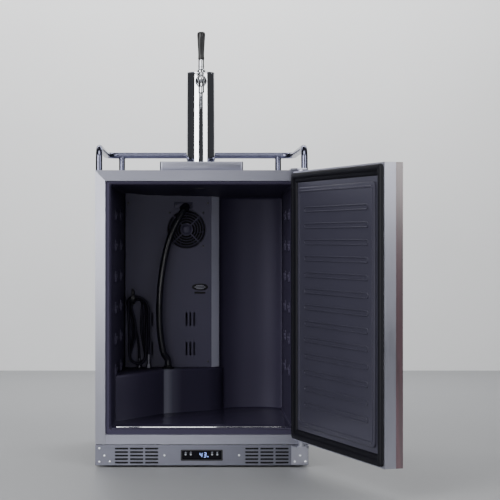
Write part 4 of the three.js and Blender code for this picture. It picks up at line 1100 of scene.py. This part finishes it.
# ---------- door ----------
def add_door():
    half, low, high, back, inset = (DOOR[k] for k in ("half", "low", "high", "back", "inset"))
    keep("door_frame", "steel_upright", 0.9)
    keep("door_core", "foam", 0)
    keep("overlay_panel", "wood", 1.3)

    # gasket: bellows base with a round magnet bulb
    profile = [(4.6, 0.3), (4.0, 2.5), (5.0, 4.5), (4.4, 6.6), (5.6, 9.2), (8.4, 10.8), (13, 11.0), (18, 10.6),
               (20.4, 8.6), (19.6, 6.2), (22.6, 5.4), (27, 5.8), (30, 4.4), (31.6, 2.4), (32, 0.3)]
    rings = []
    for offset, height in profile:
        corner = max(2.5, 13 - offset * 0.4)
        ring = rounded_outline(-half + offset, half - offset, low + offset, high - offset, corner, 6)
        rings.append([(x, back + height, z) for x, z in ring])
    bm = bmesh.new()
    lofted(bm, rings + [rings[0]], caps=False)
    piece("door_seal", bm, "gasket", ["door_gasket"], "door", 40, SWING)

    # moulded inner panel: flat flange, raised field, bead, and thirteen ribs
    bm = bmesh.new()

    def layer(outline, holes, y0, y1, edge):
        absorb(bm, plate_mesh(outline, holes, y0, y1, edge=edge))

    layer(rounded_outline(-half + 28, half - 28, low + 28, high - 28, 6), [], back + 0.02, back + 0.28, 0.05)
    field = (-half + inset, half - inset, low + inset, high - inset)
    layer(rounded_outline(*field, 12), [], back - 0.5, back + 6.2, 2.6)
    bead = (field[0] + 9, field[1] - 9, field[2] + 9, field[3] - 9)
    layer(rounded_outline(*bead, 10), [rounded_outline(bead[0] + 5, bead[1] - 5, bead[2] + 5, bead[3] - 5, 7)],
          back + 5, back + 8, 1.2)
    for i in range(13):
        z = 191 + i * 44.4
        outer = rounded_outline(-214, 200, z - 7.8, z + 7.8, 7.7, 8)
        hole = rounded_outline(-214 + 3.4, 200 - 3.4, z - 4.4, z + 4.4, 4.3, 8)
        layer(outer, [hole], back + 5, back + 8.4, 1.0)
    piece("door_tub", bm, "door_panel", ["door_liner"], "door", 40, SWING, flat=True)


def add_hinges():
    keep("hinge_lower", "steel_upright", 0.5)
    keep("hinge_upper", "steel_upright", 0.5)
    add_screws("hinge_screws", "screw", [(277, -3, 33.7), (261.5, -3, 16.8), (292, -3, 16.8)], 3.2, 1.7)
    add_screws("upper_hinge_screws", "zinc", [(257, 20, 841.3), (257, 50, 841.3), (272, 35, 841.3)], 3.2, 1.6, "z")


# ---------- studio ----------
def add_studio():
    def sheet(name, corners, color, roughness):
        mesh = bpy.data.meshes.new(name)
        mesh.from_pydata([at(*c) for c in corners], [], [(0, 1, 2, 3)])
        made = bpy.data.objects.new(name, mesh)
        bpy.context.collection.objects.link(made)
        made_material, shader = new_material(name, color, roughness)
        tree = made_material.node_tree
        dark, light = shades(color, 0.02)
        tint(tree, shader, noise(tree, 1.5, 3), dark, light)
        made.data.materials.append(made_material)

    far = 9000
    wall, left, right = 3190, -2300, 2700
    sheet("studio_floor", [(-far, -far, 0), (far, -far, 0), (far, wall, 0), (-far, wall, 0)],
          (0.26, 0.265, 0.275), 0.5)
    sheet("studio_wall", [(left, wall, 0), (right, wall, 0), (right, wall, 4000), (left, wall, 4000)],
          (0.72, 0.725, 0.73), 0.8)

    def lamp(name, place, target, size, power):
        light = bpy.data.lights.new(name, "AREA")
        light.shape = "RECTANGLE"
        light.size, light.size_y = size
        light.energy = power
        holder = bpy.data.objects.new(name, light)
        holder.location = at(*place)
        aim = at(*target) - holder.location
        holder.rotation_euler = aim.to_track_quat("-Z", "Y").to_euler()
        bpy.context.collection.objects.link(holder)

    # two tall soft boxes with a dark gap between them, in which the camera stands
    lamp("left_box", (-2250, -2850, 1950), (0, 250, 1000), (2.4, 3.0), 165)
    lamp("right_box", (2250, -2850, 2150), (0, 250, 1000), (2.4, 2.8), 75)
    lamp("front_box", (-450, -4650, 600), (0, 250, 500), (1.6, 0.7), 21)
    lamp("top_box", (0, -1500, 3600), (0, 200, 400), (2.6, 1.4), 50)
    lamp("wall_light", (0, 1700, 3000), (0, wall, 1000), (4.0, 0.8), 130)
    world = bpy.context.scene.world or bpy.data.worlds.new("world")
    bpy.context.scene.world = world
    world.use_nodes = True
    background = world.node_tree.nodes["Background"]
    background.inputs["Color"].default_value = (0.8, 0.82, 0.9, 1)
    background.inputs["Strength"].default_value = 0.06


add_camera()
add_cooling_hose()
add_shell()
add_rear()
add_kick_plate()
add_controls()
add_liner()
add_step()
add_guides()
add_floor_trim()
add_cover()
add_fan_rotor()
add_sensor()
add_rail()
add_tray()
add_tower()
add_tap()
add_door()
add_hinges()
add_gas_line()
add_studio()
